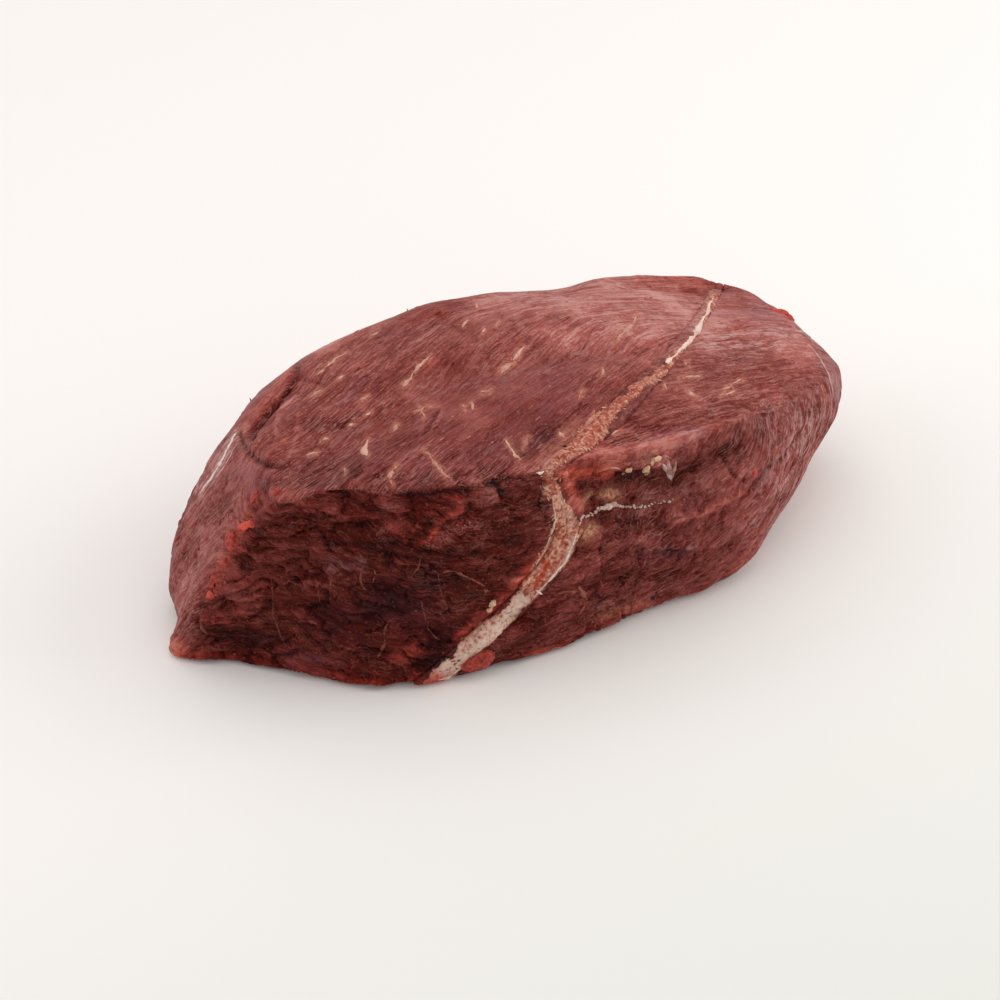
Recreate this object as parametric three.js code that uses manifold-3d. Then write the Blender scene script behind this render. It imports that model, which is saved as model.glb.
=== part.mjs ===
// A raw beef pot roast: one boneless piece of two muscles with a seam of sinew and fat between them.
// Units are millimetres, +Z is up and the roast lies on its flat underside at z = 0.
// +X runs along its length, from the flared cut corner to the rounded end, and the cut face looks towards -Y.
// The origin ends up at the middle of the roast's box in plan, on the table.
import * as THREE from "three";
import { mergeVertices } from "three/addons/utils/BufferGeometryUtils.js";
import Module from "manifold-3d";

const wasm = await Module();
wasm.setup();

// Driving dimensions
const CROWN_HEIGHT = 71; // top of the crown, over the roast's centre
const CENTRE = new THREE.Vector2(2, -4); // plan point that the top and bottom faces fan out from
const FOOT_TUCK = 5; // how far the wall's foot is rounded in towards the underside
const SEAM_GAP = 0.3; // clear space between the sinew and each muscle
const SEAM_LEAD = 110; // how far the cutting sheet runs on past the front of the seam
const SEAM_TAIL = 40; // and past its back end

// Mesh density
const COLUMNS = 148; // columns around the wall, a multiple of four for the two halvings below
const CURVE_SAMPLES = 720; // samples of the rings that the columns are spaced by
const FOOT_ROWS = 2;
const WALL_ROWS = 12;
const RIM_ROWS = 4;
const TOP_RINGS = [0.9, 0.79, 0.68, 0.56, 0.44, 0.31, 0.17]; // shares of the way from the centre to the rim
const BOTTOM_RINGS = [0.8, 0.55, 0.28];
const HALVINGS = new Set([0.68, 0.55, 0.31, 0.28]); // rings that keep half the columns of the ring outside them

// Profiles around the roast, from its flared left corner along the cut front, round the right end and along the back.
// rim is the upper edge and foot the lower edge in plan. bulge is how far the wall's control point between them
// stands out, at the share belly of the rim's height, and soft is how widely the rim is rounded.
const PROFILES = [
  { at: "flared corner", rim: [-93, -13, 66], foot: [-122, 11.5], bulge: -3, belly: 0.45, soft: 4 },
  { at: "corner flank", rim: [-87, -22, 69], foot: [-107, -4], bulge: -2, belly: 0.4, soft: 4 },
  { at: "cut face, left", rim: [-77, -31, 71], foot: [-85, -31], bulge: 0, belly: 0.5, soft: 5 },
  { at: "cut face, middle", rim: [-59, -45, 71], foot: [-62, -47.5], bulge: 0, belly: 0.5, soft: 5 },
  { at: "cut face at the seam", rim: [-26, -54, 69], foot: [-26, -56.5], bulge: 1, belly: 0.4, soft: 5 },
  { at: "short muscle, near", rim: [10, -56, 65], foot: [12, -58.5], bulge: 4, belly: 0.4, soft: 8 },
  { at: "short muscle, flank", rim: [38, -58, 61], foot: [38, -61], bulge: 7, belly: 0.4, soft: 11 },
  { at: "short muscle, turning", rim: [66, -55, 56], foot: [55, -57], bulge: 8, belly: 0.4, soft: 15 },
  { at: "right end, near", rim: [97, -46, 50], foot: [79, -41], bulge: 7, belly: 0.45, soft: 14 },
  { at: "right end, tip", rim: [116, -27, 45], foot: [102, -19], bulge: 10, belly: 0.5, soft: 13 },
  { at: "right end, far", rim: [117, 3, 47.5], foot: [100, 6], bulge: 5, belly: 0.5, soft: 12 },
  { at: "back, right", rim: [101, 23, 56], foot: [86, 25], bulge: 9, belly: 0.5, soft: 11 },
  { at: "back, right of middle", rim: [70, 37, 61], foot: [64, 37], bulge: 11, belly: 0.5, soft: 14 },
  { at: "back, middle", rim: [26, 47, 64], foot: [26, 45], bulge: 13, belly: 0.5, soft: 16 },
  { at: "back, left of middle", rim: [-18, 56, 65], foot: [-17, 51], bulge: 13, belly: 0.5, soft: 17 },
  { at: "back, left", rim: [-54, 47, 65], foot: [-60, 48], bulge: 12, belly: 0.45, soft: 15 },
  { at: "left end, far", rim: [-79, 28, 63], foot: [-100, 37], bulge: 14, belly: 0.38, soft: 11 },
  { at: "left end, near", rim: [-90, 5, 65], foot: [-112, 23], bulge: 8, belly: 0.36, soft: 6 },
];

// The seam in plan along the top face, front to back, and its thickness there
const SEAM_LINE = [
  [-25, -53],
  [13, -40],
  [46, -23],
  [80, 0],
  [97, 14],
];
const SEAM_TOP_THICKNESS = [2.6, 5.2, 3, 2, 1.8];
const SEAM_BACK_LEAN = 0.45; // share of the lean below that is lost by the seam's back end
// How far the sheet stands back from that line, and how thick it is on the cut face, by height
const SEAM_LEAN = [
  { z: 0, back: 20, thick: 7.5 },
  { z: 10, back: 12, thick: 7.5 },
  { z: 22, back: 3.5, thick: 6.5 },
  { z: 34, back: -3, thick: 5.2 },
  { z: 45, back: -5, thick: 4.2 },
  { z: 57, back: -2, thick: 2.2 },
  { z: 70, back: 0, thick: 2.4 },
];

// Furrows and folds of the top face, as plan lines with a width and a height
const TOP_FOLDS = [
  { from: [-72, -8], to: [-22, 1], width: 8, height: -2.2 }, // crease beside the smooth band
  { from: [-22, 1], to: [40, -14], width: 7, height: -2 },
  { from: [-66, -20], to: [20, -30], width: 12, height: 1.6 }, // the smooth band's crown
  { from: [-60, 12], to: [30, 18], width: 13, height: 1.5 },
  { from: [-80, 25], to: [-56, 30], width: 6, height: -3 }, // furrow behind the left lip
  { from: [-80, 17], to: [-86, -6], width: 5, height: 2.4 }, // lip over the left end
  { from: [66, 24], to: [98, 14], width: 4.5, height: -4.5 }, // crevice beside the back flap
  { from: [50, 36], to: [42, 30], width: 9, height: -2 }, // dip in the back skyline
  { from: [2, 45], to: [21, 42], width: 10, height: 2.6 }, // hump beside that dip
  { from: [98, 20], to: [110, 8], width: 7, height: 2 }, // back flap
  { from: [92, -22], to: [114, -4], width: 8, height: 2 }, // swell of the short muscle's end
];
// Ledges, pockets and nubs of the wall, with half sizes and a height
const WALL_LUMPS = [
  { at: [20, -60, 47], size: [21, 14, 6], height: -7 }, // dark pocket under the short muscle's ledge
  { at: [-9, -60, 57], size: [10, 14, 6], height: -3 }, // wet hollow beside the seam
  { at: [24, -60, 58], size: [32, 14, 5], height: 3 }, // the ledge itself
  { at: [14, -60, 29], size: [28, 14, 9], height: 2.5 },
  { at: [40, -62, 14], size: [16, 14, 6], height: 2 },
  { at: [-70, -40, 61], size: [16, 14, 4], height: -3.5 }, // crack under the cut face's upper edge
  { at: [-60, -44, 53], size: [24, 14, 5], height: 2.5 },
  { at: [-38, -52, 56], size: [10, 12, 7], height: -3 }, // dark hollow left of the seam
  { at: [-58, -46, 22], size: [30, 14, 6], height: -2 },
  { at: [-94, -15, 56], size: [7, 9, 5], height: 3.5 }, // nubs down the left edge
  { at: [-101, -9, 44], size: [7, 9, 5], height: 3.5 },
  { at: [-106, -5, 31], size: [7, 9, 5], height: 3 },
  { at: [-112, 2, 18], size: [8, 9, 6], height: 2.5 },
  { at: [118, -24, 26], size: [10, 14, 18], height: 2 },
];
const LAYER_HEIGHT = 10; // spacing of the muscle's layers up the cut face
const LAYER_DEPTH = 1.2;
const LAYER_WANDER = 5; // how far the layers wander up and down
const BROAD_LUMP = { size: 38, height: 1.6 };
const CRAG = { size: 9, height: 1.7 };
const SMOOTH_WALL_CRAGS = 0.45; // share of the crags' height away from the cut face
const FLAT_FOOT = 9; // height below which the relief dies out, so that the underside stays flat

// A repeatable value from -1 to 1 for each whole-numbered lattice point
function latticeValue(i, j, k) {
  let h = Math.imul(i, 374761393) ^ Math.imul(j, 668265263) ^ Math.imul(k, 2147483647);
  h = Math.imul(h ^ (h >>> 13), 1274126177);
  h ^= h >>> 16;
  return (h & 0xffff) / 0x7fff - 1;
}

// Smooth noise from -1 to 1 whose lumps are about one unit across
function softNoise(x, y, z) {
  const [i, j, k] = [x, y, z].map(Math.floor);
  const [fx, fy, fz] = [x - i, y - j, z - k].map((f) => f * f * (3 - 2 * f));
  let sum = 0;
  for (let corner = 0; corner < 8; corner++) {
    const [a, b, c] = [corner & 1, (corner >> 1) & 1, corner >> 2];
    const weight = (a ? fx : 1 - fx) * (b ? fy : 1 - fy) * (c ? fz : 1 - fz);
    sum += weight * latticeValue(i + a, j + b, k + c);
  }
  return sum;
}

const smooth = (low, high, x) => THREE.MathUtils.smoothstep(x, low, high);
const bell = (x) => Math.exp(-x * x);

// Linear interpolation of a field in rows sorted by key
function readRows(rows, key, field, x) {
  if (x <= rows[0][key]) return rows[0][field];
  for (let i = 1; i < rows.length; i++) {
    if (x > rows[i][key]) continue;
    const share = (x - rows[i - 1][key]) / (rows[i][key] - rows[i - 1][key]);
    return THREE.MathUtils.lerp(rows[i - 1][field], rows[i][field], share);
  }
  return rows[rows.length - 1][field];
}

function closedCurve(points) {
  return new THREE.CatmullRomCurve3(points, true, "catmullrom", 0.5);
}

const footRing = closedCurve(PROFILES.map((p) => new THREE.Vector3(...p.foot, 0)));
const rimRing = closedCurve(PROFILES.map((p) => new THREE.Vector3(...p.rim)));
// The wall's own measures ride on a curve too, so that they change as smoothly as the rings do
const wallRing = closedCurve(PROFILES.map((p) => new THREE.Vector3(p.bulge, p.soft, p.belly)));

// Curve parameters of the columns, spaced evenly by the mean of the two rings' lengths
function columnParameters() {
  const lengths = [0];
  for (let i = 1; i <= CURVE_SAMPLES; i++) {
    const [from, to] = [(i - 1) / CURVE_SAMPLES, i / CURVE_SAMPLES];
    const steps = [footRing, rimRing].map((ring) => ring.getPoint(from).distanceTo(ring.getPoint(to)));
    lengths.push(lengths[i - 1] + (steps[0] + steps[1]) / 2);
  }
  const parameters = [];
  let sample = 0;
  for (let column = 0; column < COLUMNS; column++) {
    const target = (lengths[CURVE_SAMPLES] * column) / COLUMNS;
    while (lengths[sample + 1] <= target) sample++;
    const share = (target - lengths[sample]) / (lengths[sample + 1] - lengths[sample]);
    parameters.push((sample + share) / CURVE_SAMPLES);
  }
  return parameters;
}

function quadratic(a, control, b, t) {
  return a
    .clone()
    .multiplyScalar((1 - t) * (1 - t))
    .addScaledVector(control, 2 * t * (1 - t))
    .addScaledVector(b, t * t);
}

// Height of the top face at a share of the way from the centre to the rim
function topHeight(rimHeight, share) {
  return rimHeight + (CROWN_HEIGHT - rimHeight) * (1 - share * share);
}

// One column of the roast, from the bottom's edge, up the wall and over the rim to the top's edge.
// Its three arcs meet on the legs of the polygon foot, belly, rim, so that they run on into each other.
function columnAt(t) {
  const foot = footRing.getPoint(t);
  const rim = rimRing.getPoint(t);
  const { x: bulge, y: soft, z: bellyShare } = wallRing.getPoint(t);
  const along = rimRing.getPoint((t + 0.004) % 1).sub(rimRing.getPoint((t + 0.996) % 1));
  const outward = new THREE.Vector3(along.y, -along.x, 0).normalize();
  const belly = foot.clone().lerp(rim, bellyShare).addScaledVector(outward, bulge);
  const centre = new THREE.Vector3(CENTRE.x, CENTRE.y, 0);
  const footInner = foot.clone().add(centre.clone().sub(foot).setLength(FOOT_TUCK));
  const footUpper = foot.clone().add(belly.clone().sub(foot).setLength(FOOT_TUCK));
  const rimLower = rim.clone().add(belly.clone().sub(rim).setLength(soft));
  const share = 1 - soft / Math.hypot(rim.x - CENTRE.x, rim.y - CENTRE.y);
  const rimInner = centre.clone().lerp(rim, share);
  rimInner.z = topHeight(rim.z, share);
  const arcs = [
    { from: footInner, control: foot, to: footUpper, rows: FOOT_ROWS },
    { from: footUpper, control: belly, to: rimLower, rows: WALL_ROWS },
    { from: rimLower, control: rim, to: rimInner, rows: RIM_ROWS },
  ];
  const points = [footInner];
  for (const { from, control, to, rows } of arcs)
    for (let i = 1; i <= rows; i++) points.push(quadratic(from, control, to, i / rows));
  return { points, rim, footInner, rimShare: share };
}

// Adds the triangles between two rings of points, where the inner one may have half the columns
function stitch(triangles, outer, inner, upwards) {
  const add = (a, b, c) => triangles.push(...(upwards ? [a, b, c] : [a, c, b]));
  const halved = inner.length * 2 === outer.length;
  inner.forEach((here, i) => {
    const next = inner[(i + 1) % inner.length];
    if (!halved) {
      const [low, high] = [outer[i], outer[(i + 1) % outer.length]];
      add(low, high, next);
      add(low, next, here);
      return;
    }
    const [a, b, c] = [outer[2 * i], outer[2 * i + 1], outer[(2 * i + 2) % outer.length]];
    add(a, b, here);
    add(b, next, here);
    add(b, c, next);
  });
}

// The whole roast, before the seam divides it, as positions and triangles
function roastSurface() {
  const positions = [];
  const triangles = [];
  const place = (v) => positions.push(v) - 1;
  const columns = columnParameters().map(columnAt);
  const rows = columns[0].points.map((_, row) => columns.map((column) => place(column.points[row])));
  for (let row = 1; row < rows.length; row++) stitch(triangles, rows[row - 1], rows[row], true);

  let ring = rows[rows.length - 1];
  let kept = columns;
  for (const share of TOP_RINGS) {
    if (HALVINGS.has(share)) kept = kept.filter((_, i) => i % 2 === 0);
    const next = kept.map(({ rim, rimShare }) => {
      const q = share * rimShare;
      const plan = CENTRE.clone().lerp(new THREE.Vector2(rim.x, rim.y), q);
      return place(new THREE.Vector3(plan.x, plan.y, topHeight(rim.z, q)));
    });
    stitch(triangles, ring, next, true);
    ring = next;
  }
  const top = place(new THREE.Vector3(CENTRE.x, CENTRE.y, CROWN_HEIGHT));
  ring.forEach((here, i) => triangles.push(here, ring[(i + 1) % ring.length], top));

  ring = rows[0];
  kept = columns;
  for (const share of BOTTOM_RINGS) {
    if (HALVINGS.has(share)) kept = kept.filter((_, i) => i % 2 === 0);
    const next = kept.map(({ footInner }) => {
      const plan = CENTRE.clone().lerp(new THREE.Vector2(footInner.x, footInner.y), share);
      return place(new THREE.Vector3(plan.x, plan.y, 0));
    });
    stitch(triangles, ring, next, false);
    ring = next;
  }
  const bottom = place(new THREE.Vector3(CENTRE.x, CENTRE.y, 0));
  ring.forEach((here, i) => triangles.push(ring[(i + 1) % ring.length], here, bottom));
  return { positions, triangles };
}

function surfaceGeometry(positions, triangles) {
  const geometry = new THREE.BufferGeometry();
  geometry.setAttribute("position", new THREE.Float32BufferAttribute(positions.flatMap((p) => p.toArray()), 3));
  geometry.setIndex(triangles);
  geometry.computeVertexNormals();
  return geometry;
}

function distanceToLine(p, from, to) {
  const a = new THREE.Vector2(...from);
  const along = new THREE.Vector2(...to).sub(a);
  const share = THREE.MathUtils.clamp(p.clone().sub(a).dot(along) / along.lengthSq(), 0, 1);
  return p.distanceTo(a.addScaledVector(along, share));
}

// How far the surface stands out from its smooth form at point p with normal n
function relief(p, n) {
  const broad = BROAD_LUMP.size;
  let out = BROAD_LUMP.height * softNoise(p.x / broad + 7.3, p.y / broad + 2.1, p.z / broad);
  const upward = smooth(0.45, 0.85, n.z);
  const plan = new THREE.Vector2(p.x, p.y);
  for (const fold of TOP_FOLDS)
    out += upward * fold.height * bell(distanceToLine(plan, fold.from, fold.to) / fold.width);

  for (const { at, size, height } of WALL_LUMPS) {
    const [dx, dy, dz] = [0, 1, 2].map((i) => (p.getComponent(i) - at[i]) / size[i]);
    out += height * bell(Math.hypot(dx, dy, dz));
  }
  const wall = 1 - smooth(0.35, 0.75, Math.abs(n.z));
  const cutFace = wall * smooth(0.1, 0.5, -n.y) * (1 - smooth(-5, 25, p.x));
  const phase = (p.z + LAYER_WANDER * softNoise(p.x / 24, p.z / 20, 3.7)) / LAYER_HEIGHT;
  out += cutFace * LAYER_DEPTH * Math.sin(2 * Math.PI * phase);
  const crags = cutFace + SMOOTH_WALL_CRAGS * (wall - cutFace);
  out += crags * CRAG.height * softNoise(p.x / CRAG.size, p.y / CRAG.size, (1.4 * p.z) / CRAG.size);
  return out;
}

function carvedRoast() {
  const { positions, triangles } = roastSurface();
  const normals = surfaceGeometry(positions, triangles).getAttribute("normal");
  const carved = positions.map((p, i) => {
    const n = new THREE.Vector3().fromBufferAttribute(normals, i);
    const moved = p.clone().addScaledVector(n, smooth(0, FLAT_FOOT, p.z) * relief(p, n));
    moved.z = Math.max(moved.z, 0);
    return moved;
  });
  return surfaceGeometry(carved, triangles);
}

// The seam's middle sheet: the point at a distance along its line and a height, with its plan normal
const seamLine = new THREE.CatmullRomCurve3(SEAM_LINE.map(([x, y]) => new THREE.Vector3(x, y, 0)));

function seamPoint(distance, z) {
  const length = seamLine.getLength();
  const share = THREE.MathUtils.clamp(distance / length, 0, 1);
  const along = seamLine.getTangentAt(share);
  const point = seamLine.getPointAt(share).addScaledVector(along, distance - share * length);
  const normal = new THREE.Vector3(-along.y, along.x, 0);
  const back = readRows(SEAM_LEAN, "z", "back", z) * (1 - SEAM_BACK_LEAN * share);
  return { point: point.addScaledVector(normal, back).setZ(z), normal, share };
}

function seamThickness(share, z) {
  const spot = share * (SEAM_TOP_THICKNESS.length - 1);
  const i = Math.min(Math.floor(spot), SEAM_TOP_THICKNESS.length - 2);
  const top = THREE.MathUtils.lerp(SEAM_TOP_THICKNESS[i], SEAM_TOP_THICKNESS[i + 1], spot - i);
  const face = readRows(SEAM_LEAN, "z", "thick", z);
  const inside = THREE.MathUtils.lerp(face, top, smooth(0, 0.35, share));
  return THREE.MathUtils.lerp(inside, top, smooth(55, 66, z));
}

// A closed block between two sheets, each offset(share, z) from the seam's middle sheet along its normal
function blockBetween(nearOffset, farOffset) {
  const steps = 36;
  const levels = 14;
  const [low, high] = [-6, CROWN_HEIGHT + 9];
  const start = -SEAM_LEAD;
  const end = seamLine.getLength() + SEAM_TAIL;
  const positions = [];
  const triangles = [];
  const sheets = [nearOffset, farOffset].map((offset) => {
    const grid = [];
    for (let i = 0; i <= steps; i++) {
      grid.push([]);
      for (let j = 0; j <= levels; j++) {
        const z = THREE.MathUtils.lerp(low, high, j / levels);
        const { point, normal, share } = seamPoint(THREE.MathUtils.lerp(start, end, i / steps), z);
        grid[i].push(positions.push(point.addScaledVector(normal, offset(share, z))) - 1);
      }
    }
    return grid;
  });
  const quad = (a, b, c, d) => triangles.push(a, b, c, a, c, d);
  const [near, far] = sheets;
  for (let i = 0; i < steps; i++)
    for (let j = 0; j < levels; j++) {
      quad(near[i][j], near[i + 1][j], near[i + 1][j + 1], near[i][j + 1]);
      quad(far[i][j], far[i][j + 1], far[i + 1][j + 1], far[i + 1][j]);
    }
  for (let i = 0; i < steps; i++) {
    quad(near[i + 1][0], near[i][0], far[i][0], far[i + 1][0]);
    quad(near[i][levels], near[i + 1][levels], far[i + 1][levels], far[i][levels]);
  }
  for (let j = 0; j < levels; j++) {
    quad(near[0][j], near[0][j + 1], far[0][j + 1], far[0][j]);
    quad(near[steps][j + 1], near[steps][j], far[steps][j], far[steps][j + 1]);
  }
  return solidOf(surfaceGeometry(positions, triangles));
}

function solidOf(geometry) {
  const bare = geometry.clone();
  bare.deleteAttribute("normal");
  const merged = mergeVertices(bare, 1e-4);
  return new wasm.Manifold(
    new wasm.Mesh({
      numProp: 3,
      vertProperties: merged.attributes.position.array,
      triVerts: new Uint32Array(merged.index.array),
    }),
  );
}

function meshOf(name, solid, look) {
  const { vertProperties, triVerts } = solid.getMesh();
  const geometry = new THREE.BufferGeometry();
  geometry.setAttribute("position", new THREE.BufferAttribute(vertProperties, 3));
  geometry.setIndex(new THREE.BufferAttribute(triVerts, 1));
  const mesh = new THREE.Mesh(geometry, new THREE.MeshStandardMaterial(look));
  mesh.name = name;
  return mesh;
}

const LONG_MUSCLE = { color: 0x84494a, roughness: 0.5, metalness: 0 };
const SHORT_MUSCLE = { color: 0x8a4f4b, roughness: 0.5, metalness: 0 };
const SINEW = { color: 0xc29580, roughness: 0.45, metalness: 0 };

const surface = carvedRoast();
surface.computeBoundingBox();
const middle = surface.boundingBox.getCenter(new THREE.Vector3());
const whole = solidOf(surface);
const wide = 220; // past the roast on either side of the seam
const halfSeam = (share, z) => seamThickness(share, z) / 2;
const seamBlock = blockBetween((s, z) => -halfSeam(s, z), halfSeam);
const backBlock = blockBetween((s, z) => halfSeam(s, z) + SEAM_GAP, () => wide);
const frontBlock = blockBetween(() => -wide, (s, z) => -halfSeam(s, z) - SEAM_GAP);

const roast = new THREE.Group();
roast.add(
  meshOf("long_muscle", whole.intersect(backBlock), LONG_MUSCLE),
  meshOf("short_muscle", whole.intersect(frontBlock), SHORT_MUSCLE),
  meshOf("sinew_seam", whole.intersect(seamBlock), SINEW),
);
roast.position.set(-middle.x, -middle.y, 0);

export default roast;
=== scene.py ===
"""Raw beef pot roast: two lean muscles and a seam of sinew and fat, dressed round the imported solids."""

import logging
import math
from dataclasses import dataclass, field
from enum import Enum
from itertools import product

import bmesh
import bpy
import numpy as np
from mathutils import Matrix, Vector
from mathutils.bvhtree import BVHTree


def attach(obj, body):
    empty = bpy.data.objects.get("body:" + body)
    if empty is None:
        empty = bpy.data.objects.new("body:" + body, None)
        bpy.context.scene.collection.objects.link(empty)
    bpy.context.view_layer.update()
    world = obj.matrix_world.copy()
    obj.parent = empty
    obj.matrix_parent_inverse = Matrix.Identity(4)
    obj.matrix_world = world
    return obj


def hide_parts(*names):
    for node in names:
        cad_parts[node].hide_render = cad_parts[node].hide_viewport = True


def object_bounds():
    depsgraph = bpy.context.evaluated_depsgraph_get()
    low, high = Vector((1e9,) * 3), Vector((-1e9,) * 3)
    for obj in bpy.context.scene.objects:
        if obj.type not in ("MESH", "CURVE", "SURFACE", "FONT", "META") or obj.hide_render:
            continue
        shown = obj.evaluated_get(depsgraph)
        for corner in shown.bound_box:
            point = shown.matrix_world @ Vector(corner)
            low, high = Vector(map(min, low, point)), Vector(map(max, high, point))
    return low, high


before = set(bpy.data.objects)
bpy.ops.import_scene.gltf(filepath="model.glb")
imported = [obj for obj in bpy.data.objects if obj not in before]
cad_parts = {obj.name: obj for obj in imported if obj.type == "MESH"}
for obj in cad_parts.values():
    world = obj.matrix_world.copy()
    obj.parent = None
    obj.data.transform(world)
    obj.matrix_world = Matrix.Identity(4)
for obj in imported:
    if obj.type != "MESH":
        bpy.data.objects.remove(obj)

CAD_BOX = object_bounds()

log = logging.getLogger("pot_roast")

MM = 0.001  # one millimetre in metres
BODY = "root"
PHOTO_SIDE = 1000  # pixels along each side of the photograph's frame
BOX_SLACK = 0.01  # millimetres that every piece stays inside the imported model's box

Pixel = tuple[float, float]


def smooth_step(low: float, high: float, value: np.ndarray) -> np.ndarray:
    """Eases from 0 at low to 1 at high.

    Args:
        low: Value that gives 0.
        high: Value that gives 1; it may be the smaller of the two.
        value: Values to ease.

    Returns:
        One share from 0 to 1 for each value.
    """
    share = np.clip((value - low) / (high - low), 0.0, 1.0)
    return share * share * (3.0 - 2.0 * share)


def bell(distance: np.ndarray, reach: float) -> np.ndarray:
    """Soft hump that is 1 at a distance of 0 and has faded at reach."""
    return np.exp(-((distance / reach) ** 2))


def lattice_noise(points: np.ndarray, seed: int) -> np.ndarray:
    """Value noise on a unit lattice.

    Args:
        points: One row of three coordinates for each point.
        seed: Picks the pattern.

    Returns:
        One value from -1 to 1 for each point.
    """
    cell = np.floor(points).astype(np.int64)
    part = points - cell
    ease = part * part * (3.0 - 2.0 * part)
    total = np.zeros(len(points))
    for corner in product((0, 1), repeat=3):
        at = cell + np.array(corner)
        mixed = at[:, 0] * 73856093 ^ at[:, 1] * 19349663 ^ at[:, 2] * 83492791 ^ seed * 265443577
        mixed = ((mixed ^ (mixed >> 13)) * 1274126177) & 0x7FFFFFFF
        mixed ^= mixed >> 15
        value = (mixed & 0xFFFF) / 32767.5 - 1.0
        total += value * np.prod(np.where(corner, ease, 1.0 - ease), axis=1)
    return total


def fractal(points: np.ndarray, seed: int, octaves: int = 3) -> np.ndarray:
    """Sum of ever finer and weaker layers of value noise.

    Args:
        points: One row of three coordinates for each point, in units of the coarsest layer.
        seed: Picks the pattern.
        octaves: Number of layers.

    Returns:
        One value of about -1 to 1 for each point.
    """
    total = np.zeros(len(points))
    strength = 1.0
    for octave in range(octaves):
        total += strength * lattice_noise(points * 2.03**octave + 17.3 * octave, seed + octave)
        strength *= 0.5
    return total / 1.4


def linear(hex_colour: str) -> tuple[float, float, float, float]:
    """Turns an sRGB hex colour into a linear one with full alpha.

    Args:
        hex_colour: Colour such as "#c8a090".

    Returns:
        Red, green, blue and alpha from 0 to 1.
    """
    shares = [int(hex_colour[i : i + 2], 16) / 255.0 for i in (1, 3, 5)]
    red, green, blue = (s / 12.92 if s <= 0.04045 else ((s + 0.055) / 1.055) ** 2.4 for s in shares)
    return (red, green, blue, 1.0)


def put(tree: bpy.types.NodeTree, kind: str, feeds: dict | None = None, **settings: object) -> bpy.types.Node:
    """Adds one node with its settings and links.

    Args:
        tree: Tree that gets the node.
        kind: Blender's name for the kind of node.
        feeds: For an input's name or index, a signal or output to link from, or a value.
        **settings: Values for the node's own properties.

    Returns:
        The new node.
    """
    node = tree.nodes.new(kind)
    for name, value in settings.items():
        setattr(node, name, value)
    for name, value in (feeds or {}).items():
        value = value.socket if isinstance(value, Signal) else value
        if isinstance(value, bpy.types.NodeSocket):
            tree.links.new(value, node.inputs[name])
        else:
            node.inputs[name].default_value = value
    return node


def mesh_points(mesh: bpy.types.Mesh) -> np.ndarray:
    """Reads a mesh's points, in millimetres.

    Args:
        mesh: Mesh in metres.

    Returns:
        One row of x, y and z for each point.
    """
    flat = np.empty(len(mesh.vertices) * 3, dtype=np.float32)
    mesh.vertices.foreach_get("co", flat)
    return flat.reshape(-1, 3).astype(float) / MM


def mesh_normals(mesh: bpy.types.Mesh) -> np.ndarray:
    """Reads the direction that each point of a mesh faces.

    Args:
        mesh: The mesh.

    Returns:
        One row of x, y and z for each point.
    """
    flat = np.empty(len(mesh.vertices) * 3, dtype=np.float32)
    mesh.vertices.foreach_get("normal", flat)
    return flat.reshape(-1, 3).astype(float)


def tree_of(*meshes: bpy.types.Mesh) -> BVHTree:
    """Makes one search tree, in metres, over several meshes in the shared frame.

    Args:
        meshes: Meshes in metres.

    Returns:
        The search tree.
    """
    points: list[Vector] = []
    faces: list[list[int]] = []
    for mesh in meshes:
        start = len(points)
        points += [v.co.copy() for v in mesh.vertices]
        faces += [[start + i for i in p.vertices] for p in mesh.polygons]
    return BVHTree.FromPolygons(points, faces)


def as_object(name: str, data: bpy.types.ID) -> bpy.types.Object:
    """Links a new object for a mesh, lamp or camera into the scene.

    Args:
        name: Name of the object and its data.
        data: The mesh, lamp or camera.

    Returns:
        The object.
    """
    data.name = name
    made = bpy.data.objects.new(name, data)
    bpy.context.scene.collection.objects.link(made)
    return made


def settled(worker: bpy.types.Object) -> bpy.types.Mesh:
    """Turns what a worker object's modifiers make into a plain smooth mesh and removes the worker.

    Args:
        worker: Object with modifiers.

    Returns:
        The plain mesh.
    """
    graph = bpy.context.evaluated_depsgraph_get()
    mesh = bpy.data.meshes.new_from_object(worker.evaluated_get(graph), depsgraph=graph)
    bpy.data.objects.remove(worker)
    mesh.shade_smooth()
    return mesh


def place_points(mesh: bpy.types.Mesh, points: np.ndarray) -> None:
    """Moves a mesh's points, given in millimetres."""
    mesh.vertices.foreach_set("co", (points * MM).astype(np.float32).ravel())
    mesh.update()


def keep(mesh: bpy.types.Mesh, values: dict[str, np.ndarray]) -> None:
    """Keeps numbers or vectors at a mesh's points.

    Args:
        mesh: The mesh.
        values: For each name, one number or one row of three for each point.
    """
    for name, rows in values.items():
        kind, part = ("FLOAT", "value") if rows.ndim == 1 else ("FLOAT_VECTOR", "vector")
        mesh.attributes.new(name, kind, "POINT").data.foreach_set(part, rows.astype(np.float32).ravel())


def deliver(piece: bpy.types.Object, stands_for: str | None = None) -> None:
    """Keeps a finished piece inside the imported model's box, ties it to the roast's body and reports it.

    Args:
        piece: The finished piece.
        stands_for: CAD node that it replaces, if it replaces one.
    """
    low, high = (np.array(corner) / MM for corner in CAD_BOX)
    low[:2] += BOX_SLACK
    place_points(piece.data, np.clip(mesh_points(piece.data), low, high - BOX_SLACK))
    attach(piece, BODY)
    if stands_for:
        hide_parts(stands_for)
    triangles = sum(len(p.vertices) - 2 for p in piece.data.polygons)
    log.info("%s: %d triangles", piece.name, triangles)


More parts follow.
